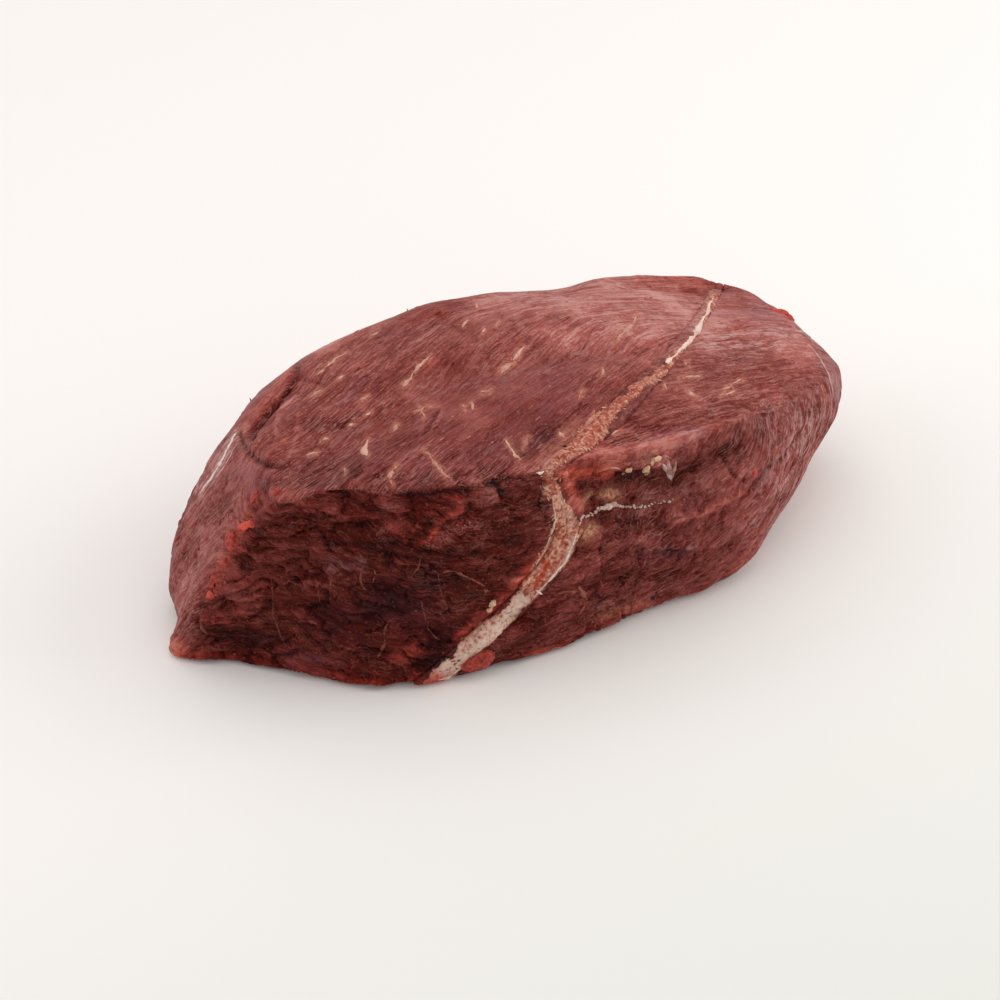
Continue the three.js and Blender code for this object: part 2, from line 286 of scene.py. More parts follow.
@dataclass(frozen=True)
class Viewpoint:
    """The photograph's camera.

    Fields: elevation and azimuth in degrees, focal length and sensor in millimetres, distance and aim in
    metres.
    """

    elevation: float = 36.0
    azimuth: float = -36.0
    focal: float = 85.0
    sensor: float = 36.0
    distance: float = 0.80
    aim: tuple[float, float, float] = (0.01096, 0.02073, 0.0)

    def axes(self) -> tuple[np.ndarray, np.ndarray, np.ndarray]:
        """Gives the directions to the right, up, and back towards the camera.

        Returns:
            Three directions of length 1.
        """
        rise, turn = math.radians(self.elevation), math.radians(self.azimuth)
        back = np.array([math.sin(turn) * math.cos(rise), -math.cos(turn) * math.cos(rise), math.sin(rise)])
        right = np.array([math.cos(turn), math.sin(turn), 0.0])
        return right, np.cross(back, right), back

    def place(self) -> np.ndarray:
        """Gives the camera's place, in metres."""
        return np.array(self.aim) + self.axes()[2] * self.distance

    def pixels(self, points: np.ndarray) -> np.ndarray:
        """Finds where points show in the photograph's frame.

        Args:
            points: Rows of points, in millimetres.

        Returns:
            Rows of pixel coordinates.
        """
        right, up, back = self.axes()
        offset = points * MM - self.place()
        scale = self.focal / self.sensor * PHOTO_SIDE / (offset @ -back)
        middle = PHOTO_SIDE / 2
        return np.column_stack([middle + offset @ right * scale, middle - offset @ up * scale])

    def ray(self, pixel: Pixel) -> Vector:
        """Gives the direction in which the camera sees a pixel.

        Args:
            pixel: Place in the photograph.

        Returns:
            The direction, away from the camera.
        """
        right, up, back = self.axes()
        across = (pixel[0] / PHOTO_SIDE - 0.5) * self.sensor
        rise = (0.5 - pixel[1] / PHOTO_SIDE) * self.sensor
        return Vector(right * across + up * rise - back * self.focal).normalized()

    def build(self) -> None:
        """Makes the camera and hands it to the scene."""
        data = bpy.data.cameras.new("camera")
        data.lens = self.focal
        data.sensor_width = self.sensor
        data.clip_start = 0.01
        camera = as_object("camera", data)
        turn = Matrix(self.axes()).transposed().to_4x4()
        camera.matrix_world = Matrix.Translation(Vector(self.place())) @ turn
        bpy.context.scene.camera = camera


@dataclass(frozen=True)
class SoftLight:
    """One soft studio light: a square panel that looks at the roast.

    Fields: compass and height of the panel in degrees, its distance and side in metres, its watts and colour.
    """

    name: str
    compass: float
    height: float
    distance: float
    side: float
    watts: float
    colour: str

    def build(self) -> None:
        """Makes the panel and turns it towards the roast."""
        data = bpy.data.lights.new(self.name, "AREA")
        data.shape = "SQUARE"
        data.size = self.side
        data.energy = self.watts
        data.color = linear(self.colour)[:3]
        lamp = as_object(self.name, data)
        turn, rise = math.radians(self.compass), math.radians(self.height)
        way = Vector((math.sin(turn) * math.cos(rise), -math.cos(turn) * math.cos(rise), math.sin(rise)))
        lamp.location = way * self.distance
        lamp.rotation_euler = way.to_track_quat("Z", "Y").to_euler()


@dataclass(frozen=True)
class Studio:
    """Pale floor and plain soft light, as in a product picture.

    Fields: side of the floor in metres, its two close tones, whose turn paler to the back is painted light,
    the light of the room and the panels.
    """

    floor_side: float = 6.0
    floor_tone: str = "#e3e4de"
    far_floor_painted_light: str = "#f7f2ef"
    floor_painted_light_turn: tuple[float, float] = (-0.13, 0.12)  # metres from front to back over which the tone turns paler, painted light that falls off towards the front
    room_tone: str = "#ffffff"
    room_strength: float = 0.69
    panels: tuple[SoftLight, ...] = (
        SoftLight("overhead", 150.0, 80.0, 1.5, 1.6, 5.6, "#fffdfb"),
        SoftLight("right_side", 60.0, 32.0, 1.4, 0.9, 6.4, "#fffbf7"),
        SoftLight("left_side", -120.0, 34.0, 1.4, 0.9, 2.5, "#fdfcff"),
    )

    def floor_finish(self) -> bpy.types.Material:
        """Matt painted board, faintly mottled so that it isn't a dead flat tone, and paler towards the back
        as painted light.

        Returns:
            The board's material.
        """
        finish = bpy.data.materials.new("matt painted board")
        finish.use_nodes = True
        tree = finish.node_tree
        tree.nodes.clear()
        place = put(tree, "ShaderNodeTexCoord").outputs["Object"]
        feeds = {"Vector": place, "Scale": 1.3, "Detail": 2.0}
        mottle = put(tree, "ShaderNodeTexNoise", feeds).outputs["Fac"]
        # painted light: the board turns from its near tone to the paler far one towards the back, where the
        # light comes from
        back = put(tree, "ShaderNodeSeparateXYZ", {0: place}).outputs["Y"]
        back = put(tree, "ShaderNodeMath", {0: mottle, 1: 0.2, 2: back}, operation="MULTIPLY_ADD").outputs[0]
        feeds = {"Value": back, "From Min": self.floor_painted_light_turn[0], "From Max": self.floor_painted_light_turn[1]}
        share = put(tree, "ShaderNodeMapRange", feeds).outputs[0]
        tones = {0: share, 6: linear(self.floor_tone), 7: linear(self.far_floor_painted_light)}
        tone = put(tree, "ShaderNodeMix", tones, data_type="RGBA").outputs[2]
        surface = put(tree, "ShaderNodeBsdfPrincipled", {"Base Color": tone, "Roughness": 0.85})
        put(tree, "ShaderNodeOutputMaterial", {"Surface": surface.outputs[0]})
        return finish

    def build(self) -> None:
        """Lays the floor, hangs the panels and lights the room."""
        board = bmesh.new()
        bmesh.ops.create_grid(board, x_segments=4, y_segments=4, size=self.floor_side / 2)
        mesh = bpy.data.meshes.new("floor")
        board.to_mesh(mesh)
        board.free()
        mesh.materials.append(self.floor_finish())
        as_object("floor", mesh)
        for panel in self.panels:
            panel.build()
        room = bpy.data.worlds.new("room")
        room.use_nodes = True
        glow = room.node_tree.nodes["Background"]
        glow.inputs["Color"].default_value = linear(self.room_tone)
        glow.inputs["Strength"].default_value = self.room_strength
        bpy.context.scene.world = room
        bpy.context.scene.view_settings.view_transform = "Standard"


class Tint(Enum):
    """What a mark can lay on the meat, each kept as a value at every point of the mesh."""

    TONE = "tone"  # lighter or darker lean, and in some marks painted light and shade
    HAZE = "haze"  # pale membrane, and in a few marks painted sheen on it
    BLOOD = "blood"  # bright wet flesh
    VIOLET = "violet"  # bluish membrane
    FAT = "fat"  # tan soft fat
    SLEEK = "sleek"  # smooth skin through which no fibres show
    SINEW = "sinew"  # the seam's cream and pink, where it spreads on the lean
    WHITE = "white"  # clean gristle, on the seam only


@dataclass(frozen=True)
class Mark:
    """A patch, fold or crack that the photograph shows, painted on the meat and pressed into it.

    Fields: route in pixels of the photograph, reach in pixels to either side, lift in millimetres (below 0
    for a groove), what it lays on the meat, and how ragged its edge is, in pixels.
    """

    name: str
    route: tuple[Pixel, ...]
    reach: float
    lift: float = 0.0
    tints: dict[Tint, float] = field(default_factory=dict)
    ragged: float = 2.5


TONE, HAZE, BLOOD, VIOLET, FAT, SLEEK, SINEW, WHITE = Tint

LEFT_END_MARKS = (
    Mark("lip over the left end", ((246, 427), (243, 437), (246, 447), (253, 457)), 3.5, 0.7, {TONE: 0.15}),
    # painted shadow: the lean under the lip is darkened
    Mark("undercut below the lip", ((240, 432), (243, 443), (250, 454), (258, 461), (266, 464), (276, 466)),
         2.8, -1.4, {TONE: -0.45}, 1.2),
    # painted shade: the furrow is darkened
    Mark("furrow along the left rim", ((297, 367), (294, 378), (284, 395), (269, 411), (256, 428),
         (250, 437)), 3.2, -1.8, {TONE: -0.36}, 1.5),
    # painted shade: the crease is darkened
    Mark("crease off the furrow", ((297, 378), (310, 381), (325, 382)), 2.5, -0.6, {TONE: -0.18}, 1.5),
    Mark("pink lip beside the furrow", ((296, 397), (283, 408), (278, 417), (276, 429), (277, 437)), 2.4, 0.9,
         {TONE: 0.2, HAZE: 0.4}, 1.5),
    Mark("red rim beyond the furrow", ((292, 368), (276, 392), (256, 416)), 6, 0.4,
         {BLOOD: 0.35, TONE: 0.08}),
    Mark("fine light line", ((298, 415), (297, 430), (294, 442)), 1.8, 0.3, {TONE: 0.2}, 1),
    Mark("silverskin at the left rim", ((237, 433), (229, 447), (213, 473), (200, 492)), 4.4, 0,
         {HAZE: 3, SLEEK: 0.8, TONE: 0.15}, 1.5),
    Mark("violet left end", ((246, 475), (262, 485)), 14, 0, {VIOLET: 0.5, HAZE: 0.2, SLEEK: 0.5}),
    Mark("flap edge", ((275, 468), (272, 480), (271, 492)), 2.4, 0.6, {TONE: 0.25, BLOOD: 0.2}, 1),
    Mark("red along the flared corner", ((258, 497), (246, 524), (232, 545), (224, 565), (212, 588)), 8, 0,
         {BLOOD: 0.5, TONE: 0.12}),
    # painted shade: the hollow behind the nubs and the gap between them are darkened
    Mark("hollow behind the nubs", ((247, 557),), 6.5, -1.4, {TONE: -0.3}),
    Mark("gap between the nubs", ((250, 511), (259, 504)), 2.6, -0.9, {TONE: -0.3}, 1),
    Mark("layers above the tip", ((212, 642), (250, 636), (285, 643)), 11, -0.3, {TONE: -0.14}),
    Mark("pale foot of the left end", ((192, 585), (186, 622)), 11, 0, {TONE: 0.16, HAZE: 0.45, SLEEK: 0.3},
         4),
    # painted shade: the crags under the left rim are darkened
    Mark("dark crags under the left rim", ((272, 482), (300, 482), (330, 484)), 10, -0.5, {TONE: -0.26}, 5),
    Mark("lit rim of the left shoulder", ((238, 428), (262, 402), (286, 378)), 9, 0, {TONE: 0.16}, 5),
    Mark("lit back of the left shoulder", ((318, 352), (345, 336), (378, 324)), 10, 0, {TONE: 0.14}, 5),
    Mark("pale rim below the furrow", ((214, 462), (240, 466), (262, 470)), 10, 0, {TONE: 0.14}, 3),
    Mark("red glow along the foot", ((178, 654), (230, 657), (270, 662), (305, 668), (330, 673), (420, 678)),
         5, 0.3, {BLOOD: 0.9, TONE: -0.02}, 1.5),
    Mark("red lean beside the seam", ((540, 560), (526, 574), (510, 591), (494, 607), (476, 620), (456, 636)),
         6, 0.2, {BLOOD: 0.9, TONE: 0.26}, 3),
    Mark("crumbling rim", ((282, 467), (330, 471), (380, 477), (440, 480), (500, 474)), 6.5, -0.6,
         {TONE: -0.18}, 8),
    Mark("red tip", ((176, 646), (175, 656)), 9, 0, {BLOOD: 0.7, TONE: 0.35}),
    Mark("bright bottom rim", ((172, 658), (182, 661), (200, 662), (240, 663), (270, 667), (290, 672),
         (306, 675), (350, 680), (420, 680)), 2.8, 0.3, {BLOOD: 0.9, TONE: 0.06}, 1.2),
    Mark("orange speck on the corner", ((283, 441),), 3, 0.4, {BLOOD: 0.9, TONE: 0.2}, 0.5),
)

CUT_FACE_MARKS = (
    Mark("redder upper half", ((285, 503), (380, 508), (440, 512)), 15, 0, {TONE: 0.08, BLOOD: 0.1}),
    Mark("bright fold", ((297, 506), (310, 507), (322, 509), (335, 513), (350, 517), (372, 519)), 3.2, 1,
         {TONE: 0.08, BLOOD: 0.1}, 2),
    Mark("shadow under the fold", ((288, 518), (340, 523), (380, 523)), 4, -0.9, {TONE: -0.14}),
    Mark("second shadow", ((322, 543), (345, 546), (378, 545)), 3.6, -0.9, {TONE: -0.14}),
    Mark("third shadow", ((296, 577), (324, 574)), 2.8, -1, {TONE: -0.25}),
    Mark("shadow of the rim", ((350, 487), (400, 491), (440, 494), (462, 490), (490, 481), (535, 477)), 4,
         -0.4, {TONE: -0.12}),
    Mark("end of the red fold", ((451, 494), (458, 497), (461, 508), (449, 516), (441, 521), (436, 528),
         (433, 534)), 3.6, 1.6, {BLOOD: 0.75, TONE: 0.22}, 2),
    Mark("its foot", ((433, 534), (426, 540), (416, 546)), 3.4, 1.3, {BLOOD: 0.7, TONE: 0.15}, 2),
    Mark("its left arm", ((391, 527), (400, 533), (407, 540)), 3.2, 1.2, {BLOOD: 0.5, TONE: 0.2}, 2),
    Mark("red flesh in the fold", ((398, 508), (440, 503)), 9, 0.2, {BLOOD: 0.35}),
    Mark("wet grey patch", ((384, 508), (402, 509)), 5, 0, {HAZE: 0.5, VIOLET: 0.3}),
    # painted shade: the slit is darkened
    Mark("slit below the rim", ((494, 482), (498, 489), (503, 497)), 2.6, -1.8, {TONE: -0.5}, 0.8),
    Mark("crumbly flakes", ((478, 486), (492, 493)), 7, 0.6, {TONE: 0.35, HAZE: 0.4}, 5),
    Mark("near black beside the seam", ((541, 500), (530, 540), (508, 572)), 12, -0.3),
    Mark("smooth wet lower part", ((330, 622), (390, 606), (440, 622)), 24, 0,
         {VIOLET: 0.14, SLEEK: 0.6, TONE: -0.07}),
    Mark("dark middle", ((430, 578), (460, 580)), 14, 0, {TONE: -0.12}, 5),
    Mark("lit flesh by the fold", ((394, 518), (414, 528)), 8, 0.3, {TONE: 0.18, BLOOD: 0.2}, 4),
    Mark("grey haze", ((332, 566), (360, 566)), 7, 0, {HAZE: 0.35, VIOLET: 0.3}),
    Mark("violet haze", ((290, 661), (322, 661)), 7, 0, {VIOLET: 0.8}),
    # painted shade: the two grooves by the seam's foot are darkened
    Mark("groove by the seam's foot", ((418, 646), (430, 645), (450, 641)), 2.6, -1.2, {TONE: -0.3}, 1.5),
    Mark("lower groove", ((413, 666), (430, 662), (444, 660)), 2.6, -1.2, {TONE: -0.3}, 1.5),
    Mark("red by the seam's foot", ((400, 655), (420, 648)), 9, 0.4, {BLOOD: 0.6, TONE: 0.22}),
    Mark("rolled bundles", ((236, 575), (262, 590), (240, 612)), 8, 0.5, {BLOOD: 0.18, TONE: 0.08}, 5),
    Mark("red lobes low left", ((206, 622), (222, 616)), 8, 0.6, {BLOOD: 0.3, TONE: 0.12}),
    Mark("fleshy bit by the seam", ((505, 580), (517, 579)), 3.2, 0.8, {TONE: 0.3, HAZE: 0.3}, 1.5),
)

LONG_TOP_MARKS = (
    Mark("smooth pale swell", ((330, 437), (380, 425), (420, 401), (450, 390), (480, 383), (520, 375),
         (560, 370), (590, 365), (620, 362)), 6, 0.5, {HAZE: 0.3, SLEEK: 0.9}),
    Mark("smooth brown middle", ((445, 404), (500, 400), (555, 392)), 22, 0, {SLEEK: 0.85, VIOLET: 0.12}, 6),
    Mark("smooth front of the top", ((450, 432), (500, 428), (535, 420)), 15, 0, {SLEEK: 0.6}, 6),
    Mark("smooth front rim", ((400, 462), (470, 462), (530, 452)), 10, 0, {SLEEK: 0.35}, 5),
    Mark("smooth lean at the back", ((450, 338), (500, 325)), 10, 0, {SLEEK: 0.5}, 5),
    # painted light and sheen: the back of the top is made paler and hazier, as lit from behind
    Mark("pale back of the top", ((490, 300), (570, 296), (640, 290), (690, 308)), 26, 0,
         {TONE: 0.25, HAZE: 0.38}, 8),
    Mark("pale line over the back", ((470, 300), (520, 296), (570, 302), (620, 306), (660, 318)), 3, 0.3,
         {HAZE: 0.6, TONE: 0.06}, 4),
    Mark("second pale line", ((600, 285), (640, 290), (670, 300), (690, 318)), 2.6, 0.3,
         {HAZE: 0.7, TONE: 0.08}, 3),
    Mark("third pale line", ((560, 318), (600, 322), (640, 330), (665, 345)), 2.6, 0.2, {HAZE: 0.6}, 4),
    Mark("pale streaks by the thin end", ((545, 332), (600, 340), (650, 338)), 22, 0, {TONE: 0.2, HAZE: 0.2},
         8),
    Mark("dark lean left of the seam", ((482, 450), (515, 450), (548, 438)), 14, 0, {TONE: -0.2, SLEEK: 0.4},
         6),
    Mark("darkest by the seam", ((538, 446), (556, 428)), 10, 0, {TONE: -0.06}, 4),
    Mark("paler lean by the thin end", ((600, 325), (650, 330), (680, 320)), 20, 0, {TONE: 0.08, HAZE: 0.2},
         6),
    Mark("red rim of the left shoulder", ((318, 352), (350, 336), (400, 318), (440, 310)), 6, 0.2,
         {BLOOD: 0.25, TONE: 0.12}),
    # painted shade: the front of the top is made darker, away from the light behind, with a little violet
    Mark("greyer front of the top", ((330, 452), (420, 468), (480, 452), (550, 420), (560, 395)), 24, 0,
         {TONE: -0.08, VIOLET: 0.15}, 8),
    Mark("shade on the left", ((310, 424), (350, 424)), 7, -0.3, {TONE: -0.18}),
    # painted shade: the slit is darkened
    Mark("slit on the top", ((438, 411), (434, 419), (429, 427), (424, 433)), 1.7, -0.5, {TONE: -0.28}, 0.6),
    Mark("light lip of the slit", ((442, 411), (438, 419), (433, 426)), 2, 0.3, {TONE: 0.12, HAZE: 0.3}, 0.8),
    Mark("violet streak", ((356, 393), (349, 397), (343, 401)), 3.2, 0, {VIOLET: 1.3}, 1),
    Mark("violet spot", ((363, 380),), 3.5, 0, {VIOLET: 0.6}),
    Mark("whitish streak", ((514, 298), (530, 297), (555, 300)), 2.6, 0, {HAZE: 1}, 1),
    Mark("raw red spot", ((437, 314), (445, 317)), 3.4, -0.4, {BLOOD: 0.7, TONE: -0.2}, 1.5),
    Mark("halo of the long fleck", ((432, 358), (424, 366)), 4.5, 0.2, {BLOOD: 0.6, TONE: 0.1}),
    # painted shade: the notch is darkened
    Mark("notch at the seam", ((664, 363), (662, 371)), 2.2, -0.5, {TONE: -0.25}, 0.6),
    Mark("curl at the notch", ((642, 364), (648, 363), (653, 369), (658, 375)), 2.2, 0.6, {TONE: 0.2}, 0.8),
    Mark("grain by the seam's left", ((575, 425), (550, 452), (538, 466)), 7, 0, {FAT: 0.25, TONE: 0.08}, 5),
)

SHORT_TOP_MARKS = (
    Mark("grey smooth shoulder", ((718, 312), (748, 308), (776, 318)), 13, 0,
         {VIOLET: 0.4, HAZE: 0.6, TONE: 0.12, SLEEK: 0.7}),
    Mark("red strip at the back", ((640, 276), (670, 280), (700, 282), (732, 286), (756, 294)), 5.5, 0.4,
         {BLOOD: 0.45, TONE: 0.05}),
    # red flesh, with painted shade darkening the crevice
    Mark("crevice at the back", ((681, 288), (697, 291), (707, 298)), 2.6, -0.8, {TONE: -0.22, BLOOD: 0.5},
         1),
    # red flesh, with painted shade darkening the hole a little
    Mark("hole in the shoulder", ((735, 328), (742, 327)), 2, -0.5, {BLOOD: 0.8, TONE: -0.1}, 0.6),
    Mark("torn red edge", ((775, 308), (790, 316), (800, 322)), 4, 0.4, {BLOOD: 0.6, TONE: 0.1}),
    Mark("bright shoulder", ((716, 328), (765, 334), (800, 352)), 17, 0, {TONE: 0.27}, 6),
    Mark("net of membrane", ((704, 336), (730, 342), (760, 340), (790, 333)), 13, 0, {HAZE: 1.3}, 5),
    Mark("pink bulge of the far end", ((775, 365), (800, 352)), 16, 0, {TONE: 0.04, BLOOD: 0.08}, 5),
    Mark("shade of the right end", ((766, 410), (760, 432)), 12, 0, {TONE: -0.14}, 5),
    Mark("pale far end", ((790, 330), (812, 345), (824, 365)), 13, 0, {HAZE: 0.2, TONE: 0.05}, 6),
    Mark("lilac beyond the silverskin", ((832, 362), (837, 388), (836, 402)), 3.6, 0,
         {VIOLET: 0.9, HAZE: 0.4}, 1),
    Mark("browner end", ((806, 410), (824, 425)), 13, 0, {TONE: -0.14}, 6),
    Mark("redder lean right of the seam", ((590, 446), (625, 428), (660, 405)), 9, 0, {BLOOD: 0.05}, 5),
    Mark("dark lean of the short top", ((620, 440), (680, 425), (720, 405)), 14, 0, {TONE: -0.06}, 6),
)

SHORT_FRONT_MARKS = (
    Mark("wet orange hollow", ((560, 474), (585, 473), (618, 469)), 7.5, -1.2, {BLOOD: 1.1, TONE: 0.36}, 3),
    Mark("wet lower part of the hollow", ((568, 484), (576, 503)), 8.5, -0.5, {BLOOD: 0.7, TONE: 0.46}),
    Mark("crest at the seam's bend", ((540, 468), (552, 464)), 7, 0, {TONE: 0.2}, 2),
    Mark("pink fold over the hollow", ((550, 466), (562, 456), (580, 458), (610, 457), (640, 451), (670, 443),
         (690, 438), (728, 426), (742, 417)), 5, 2, {TONE: 0.06, BLOOD: 0.25, HAZE: 0.3}),
    Mark("lobe of the fold", ((672, 443), (684, 442)), 10, 1.5, {TONE: 0.12, VIOLET: 0.2}),
    Mark("lean over the hollow", ((570, 456), (620, 454), (665, 447)), 11, 0, {TONE: 0.12, BLOOD: 0.2}),
    # pale lilac membrane along the fold's crest, which also serves as a painted highlight
    Mark("lilac crest of the fold", ((640, 446), (668, 438), (684, 436), (700, 434)), 3.6, 0.3,
         {HAZE: 0.9, VIOLET: 0.2}, 2),
    Mark("lean right of the seam", ((592, 520), (588, 560), (578, 600)), 12, 0, {TONE: 0.12}, 4),
    # painted shade: the flank under the overhanging fold is darkened
    Mark("shaded flank under the fold", ((660, 484), (690, 470), (722, 456), (742, 444)), 10, -0.3,
         {TONE: -0.2}),
    Mark("dark lean by the whitish branch", ((600, 520), (628, 524), (664, 522)), 10, 0, {TONE: -0.24}, 4),
    Mark("dark lean low", ((640, 578), (668, 578)), 12, 0, {TONE: -0.12}, 4),
    Mark("dark lean below it", ((645, 502), (690, 492)), 9, 0, {TONE: -0.1}),
    # painted shade: the pocket under the lip and its right end are darkened
    Mark("pocket", ((622, 478), (645, 477)), 7, -3, {TONE: -0.44, SLEEK: 0.9}),
    Mark("pocket's right end", ((648, 474), (660, 475)), 3.6, -1.4, {TONE: -0.12}),
    Mark("lit rim of the pocket", ((640, 464), (656, 463), (672, 462)), 6, 0.3, {TONE: 0.12, HAZE: 0.2}, 2),
    Mark("tan fat low", ((583, 534), (590, 529)), 6.5, 0.4, {FAT: 1.3, TONE: 0.2}, 2.5),
    Mark("tan fat high", ((604, 496), (614, 495)), 5, 0.3, {FAT: 1, TONE: 0.1}, 2.5),
    Mark("tan streak", ((580, 506), (586, 499), (591, 493)), 3, 0.2, {FAT: 0.7}, 1),
    Mark("pink fold on the right", ((670, 521), (680, 517), (700, 514), (720, 506), (731, 499), (748, 490)),
         3.8, 1.8, {TONE: 0.24, BLOOD: 0.22}),
    Mark("pale streaks down the right edge", ((805, 425), (796, 455), (782, 485)), 8, 0,
         {TONE: 0.16, HAZE: 0.7}, 5),
    Mark("paler right flank", ((782, 450), (765, 500), (750, 535)), 13, 0, {TONE: 0.08, HAZE: 0.3}, 6),
    Mark("wrinkles with violet shade", ((640, 555), (660, 552), (682, 553)), 6, -1,
         {VIOLET: 0.35, TONE: -0.24, SLEEK: 0.4}, 7),
    Mark("lilac wrinkle", ((660, 548), (695, 546)), 2.8, 0.8, {VIOLET: 0.4, HAZE: 0.5}, 1.5),
    Mark("haze under the vein", ((590, 605), (606, 604)), 5, 0, {HAZE: 0.5}),
    Mark("fatty bottom rim", ((600, 617), (625, 608), (652, 604)), 4.5, 0.3,
         {FAT: 0.3, BLOOD: 0.4, TONE: 0.1}),
    Mark("pink bottom rim", ((535, 653), (556, 647)), 4, 0.4, {BLOOD: 0.6, TONE: 0.25}),
    Mark("moist bottom rim", ((500, 657), (520, 656), (560, 645), (600, 625), (640, 608), (672, 594),
         (700, 590), (735, 569), (757, 543)), 3, 0.2, {BLOOD: 0.45}, 1.5),
    Mark("whitish streak on the front", ((640, 541), (650, 535), (658, 532)), 2.4, 0.3, {HAZE: 0.9}, 1),
    Mark("reddish lean low", ((610, 580), (650, 575), (690, 570)), 12, 0, {BLOOD: 0.1, TONE: -0.12}, 6),
    Mark("shade left of the slit", ((720, 446), (738, 462)), 8, -0.4, {TONE: -0.1}),
    # painted shade: the slit is darkened
    Mark("slit in the right flank", ((721, 456), (727, 464), (736, 480)), 2.2, -0.9, {TONE: -0.3}, 0.8),
    # painted shade: the furrow is darkened
    Mark("long furrow in painted shade", ((740, 494), (754, 486), (763, 478), (771, 466), (781, 460), (794, 446),
         (801, 434)), 2.4, -1, {TONE: -0.28}, 1),
    Mark("violet on the furrow", ((763, 475),), 7, 0, {VIOLET: 0.7}),
    Mark("light streak by the slit", ((721, 481), (729, 476)), 2.2, 0.3, {HAZE: 0.9}, 0.8),
    Mark("moist orange dot", ((754, 473),), 3.4, 0.7, {BLOOD: 0.6, TONE: 0.3}, 0.5),
)

LEAN_MARKS = LEFT_END_MARKS + CUT_FACE_MARKS + LONG_TOP_MARKS + SHORT_TOP_MARKS + SHORT_FRONT_MARKS

SEAM_MARKS = (
    Mark("gristle at the foot", ((520, 600), (495, 628), (470, 650), (445, 670)), 9, 0, {WHITE: 0.65}, 3),
    Mark("gristle at the bend", ((574, 536), (567, 558), (552, 578)), 2.8, 0.2, {WHITE: 0.45}, 1.5),
    Mark("pale upper bend", ((556, 494), (564, 508), (570, 522)), 5, 0, {WHITE: 0.25}, 3),
    Mark("moist red tongue", ((425, 680), (440, 678)), 6, 0.3, {BLOOD: 0.9}, 1.5),
    Mark("slit in the seam", ((541, 575), (538, 582), (535, 588)), 2, -0.7, {BLOOD: 0.9}, 0.5),
    Mark("upper slit in the seam", ((546, 560), (543, 575)), 2, -0.7, {BLOOD: 0.8}, 0.5),
    Mark("redder top", ((640, 392), (610, 412), (585, 437)), 7, 0, {BLOOD: 0.2}, 5),
    Mark("rim by the fold", ((610, 427), (600, 442), (584, 452), (566, 461)), 5, 1),
) + tuple(
    Mark("pore", (place,), 1.7, -0.5, {BLOOD: 0.6, WHITE: -0.3}, 0.3)
    for place in (
        (463, 650), (470, 646), (475, 641), (481, 638), (485, 635), (490, 632), (491, 620), (500, 616),
    )
)

# The seam's edges as the photograph shows them, from the back of the top to the foot.
TOP_EDGE_LEFT = (
    (662, 367), (653, 377), (644, 382), (637, 387), (628, 386), (631, 392), (623, 398), (612, 405),
    (601, 411), (592, 413), (590, 420), (583, 427), (578, 433), (575, 440), (570, 446), (560, 456),
    (551, 465), (542, 472),
)
TOP_EDGE_RIGHT = (
    (667, 369), (658, 378), (650, 384), (643, 389), (635, 396), (627, 403), (619, 411), (612, 419),
    (608, 427), (603, 435), (597, 443), (586, 450), (572, 456), (560, 463), (550, 470),
)
FACE_EDGE_LEFT = (
    (542, 473), (544, 480), (539, 487), (546, 492), (550, 498), (552, 507), (554, 514), (555, 521),
    (551, 530), (550, 540), (546, 545), (543, 552), (539, 560), (532, 568), (529, 575), (520, 588),
    (510, 601), (500, 612), (480, 624), (461, 640), (453, 657), (438, 665), (423, 680),
)
FACE_EDGE_RIGHT = (
    (550, 470), (553, 478), (557, 487), (560, 495), (563, 501), (568, 508), (573, 515), (577, 520),
    (580, 525), (577, 533), (574, 540), (573, 548), (569, 556), (563, 566), (556, 573), (549, 580),
    (541, 590), (531, 600), (520, 610), (511, 621), (501, 631), (494, 641), (481, 648), (467, 658),
    (459, 671), (450, 681),
)
BACK_EDGE_LEFT = (
    (664, 368), (669, 357), (680, 347), (690, 338), (697, 325), (704, 312), (707, 303), (712, 295),
)
BACK_EDGE_RIGHT = (
    (668, 370), (675, 360), (685, 350), (695, 341), (701, 328), (709, 315), (712, 305), (717, 296),
)
SEAM_BANDS = (
    TOP_EDGE_LEFT + TOP_EDGE_RIGHT[::-1],
    FACE_EDGE_LEFT + FACE_EDGE_RIGHT[::-1],
    BACK_EDGE_LEFT + BACK_EDGE_RIGHT[::-1],
)


@dataclass(frozen=True)
class Strand:
    """A thread of fat, vein or membrane that the photograph shows on the surface.

    Fields: route in pixels, widest width in millimetres, colour from 0 (pink flesh) to 1 (cream white), and
    how far its middle stands out of the surface as a share of its radius.
    """

    name: str
    route: tuple[Pixel, ...]
    width: float
    tint: float
    stand: float = -0.6

    def stain(self) -> Mark:
        """Gives the soft edge that a fleck of fat has in the lean."""
        return Mark(self.name, self.route, self.width * 1.5 + 1.0, 0.15, {SINEW: 0.55, BLOOD: 0.4}, 2.0)


SILVERSKIN = (
    Strand("skin at the left rim", ((236, 430), (229, 446), (218, 467), (207, 483), (200, 493)), 2.3, 1,
           -0.75),
    Strand("its lower edge", ((238, 441), (231, 455), (220, 473), (210, 487)), 0.6, 0.4, -0.4),
    Strand("line at the far end", ((808, 345), (815, 352), (822, 362), (828, 375), (832, 388), (834, 402)),
           0.6, 0.45, -0.1),
    Strand("fin under the curl", ((663, 464), (667, 471), (671, 480)), 1.3, 0.5, -0.1),
    Strand("fin under the curl", ((668, 460), (669, 470), (671, 480)), 1.8, 0.15, -0.3),
    Strand("fin under the curl", ((676, 461), (674, 470), (671, 480)), 1.2, 0.35, -0.1),
    Strand("skin up to the fin", ((660, 457), (666, 456), (672, 459)), 0.6, 0.1, -0.5),
    Strand("streak by the far end", ((796, 331), (806, 331), (812, 340)), 0.6, 0.4, -0.2),
)

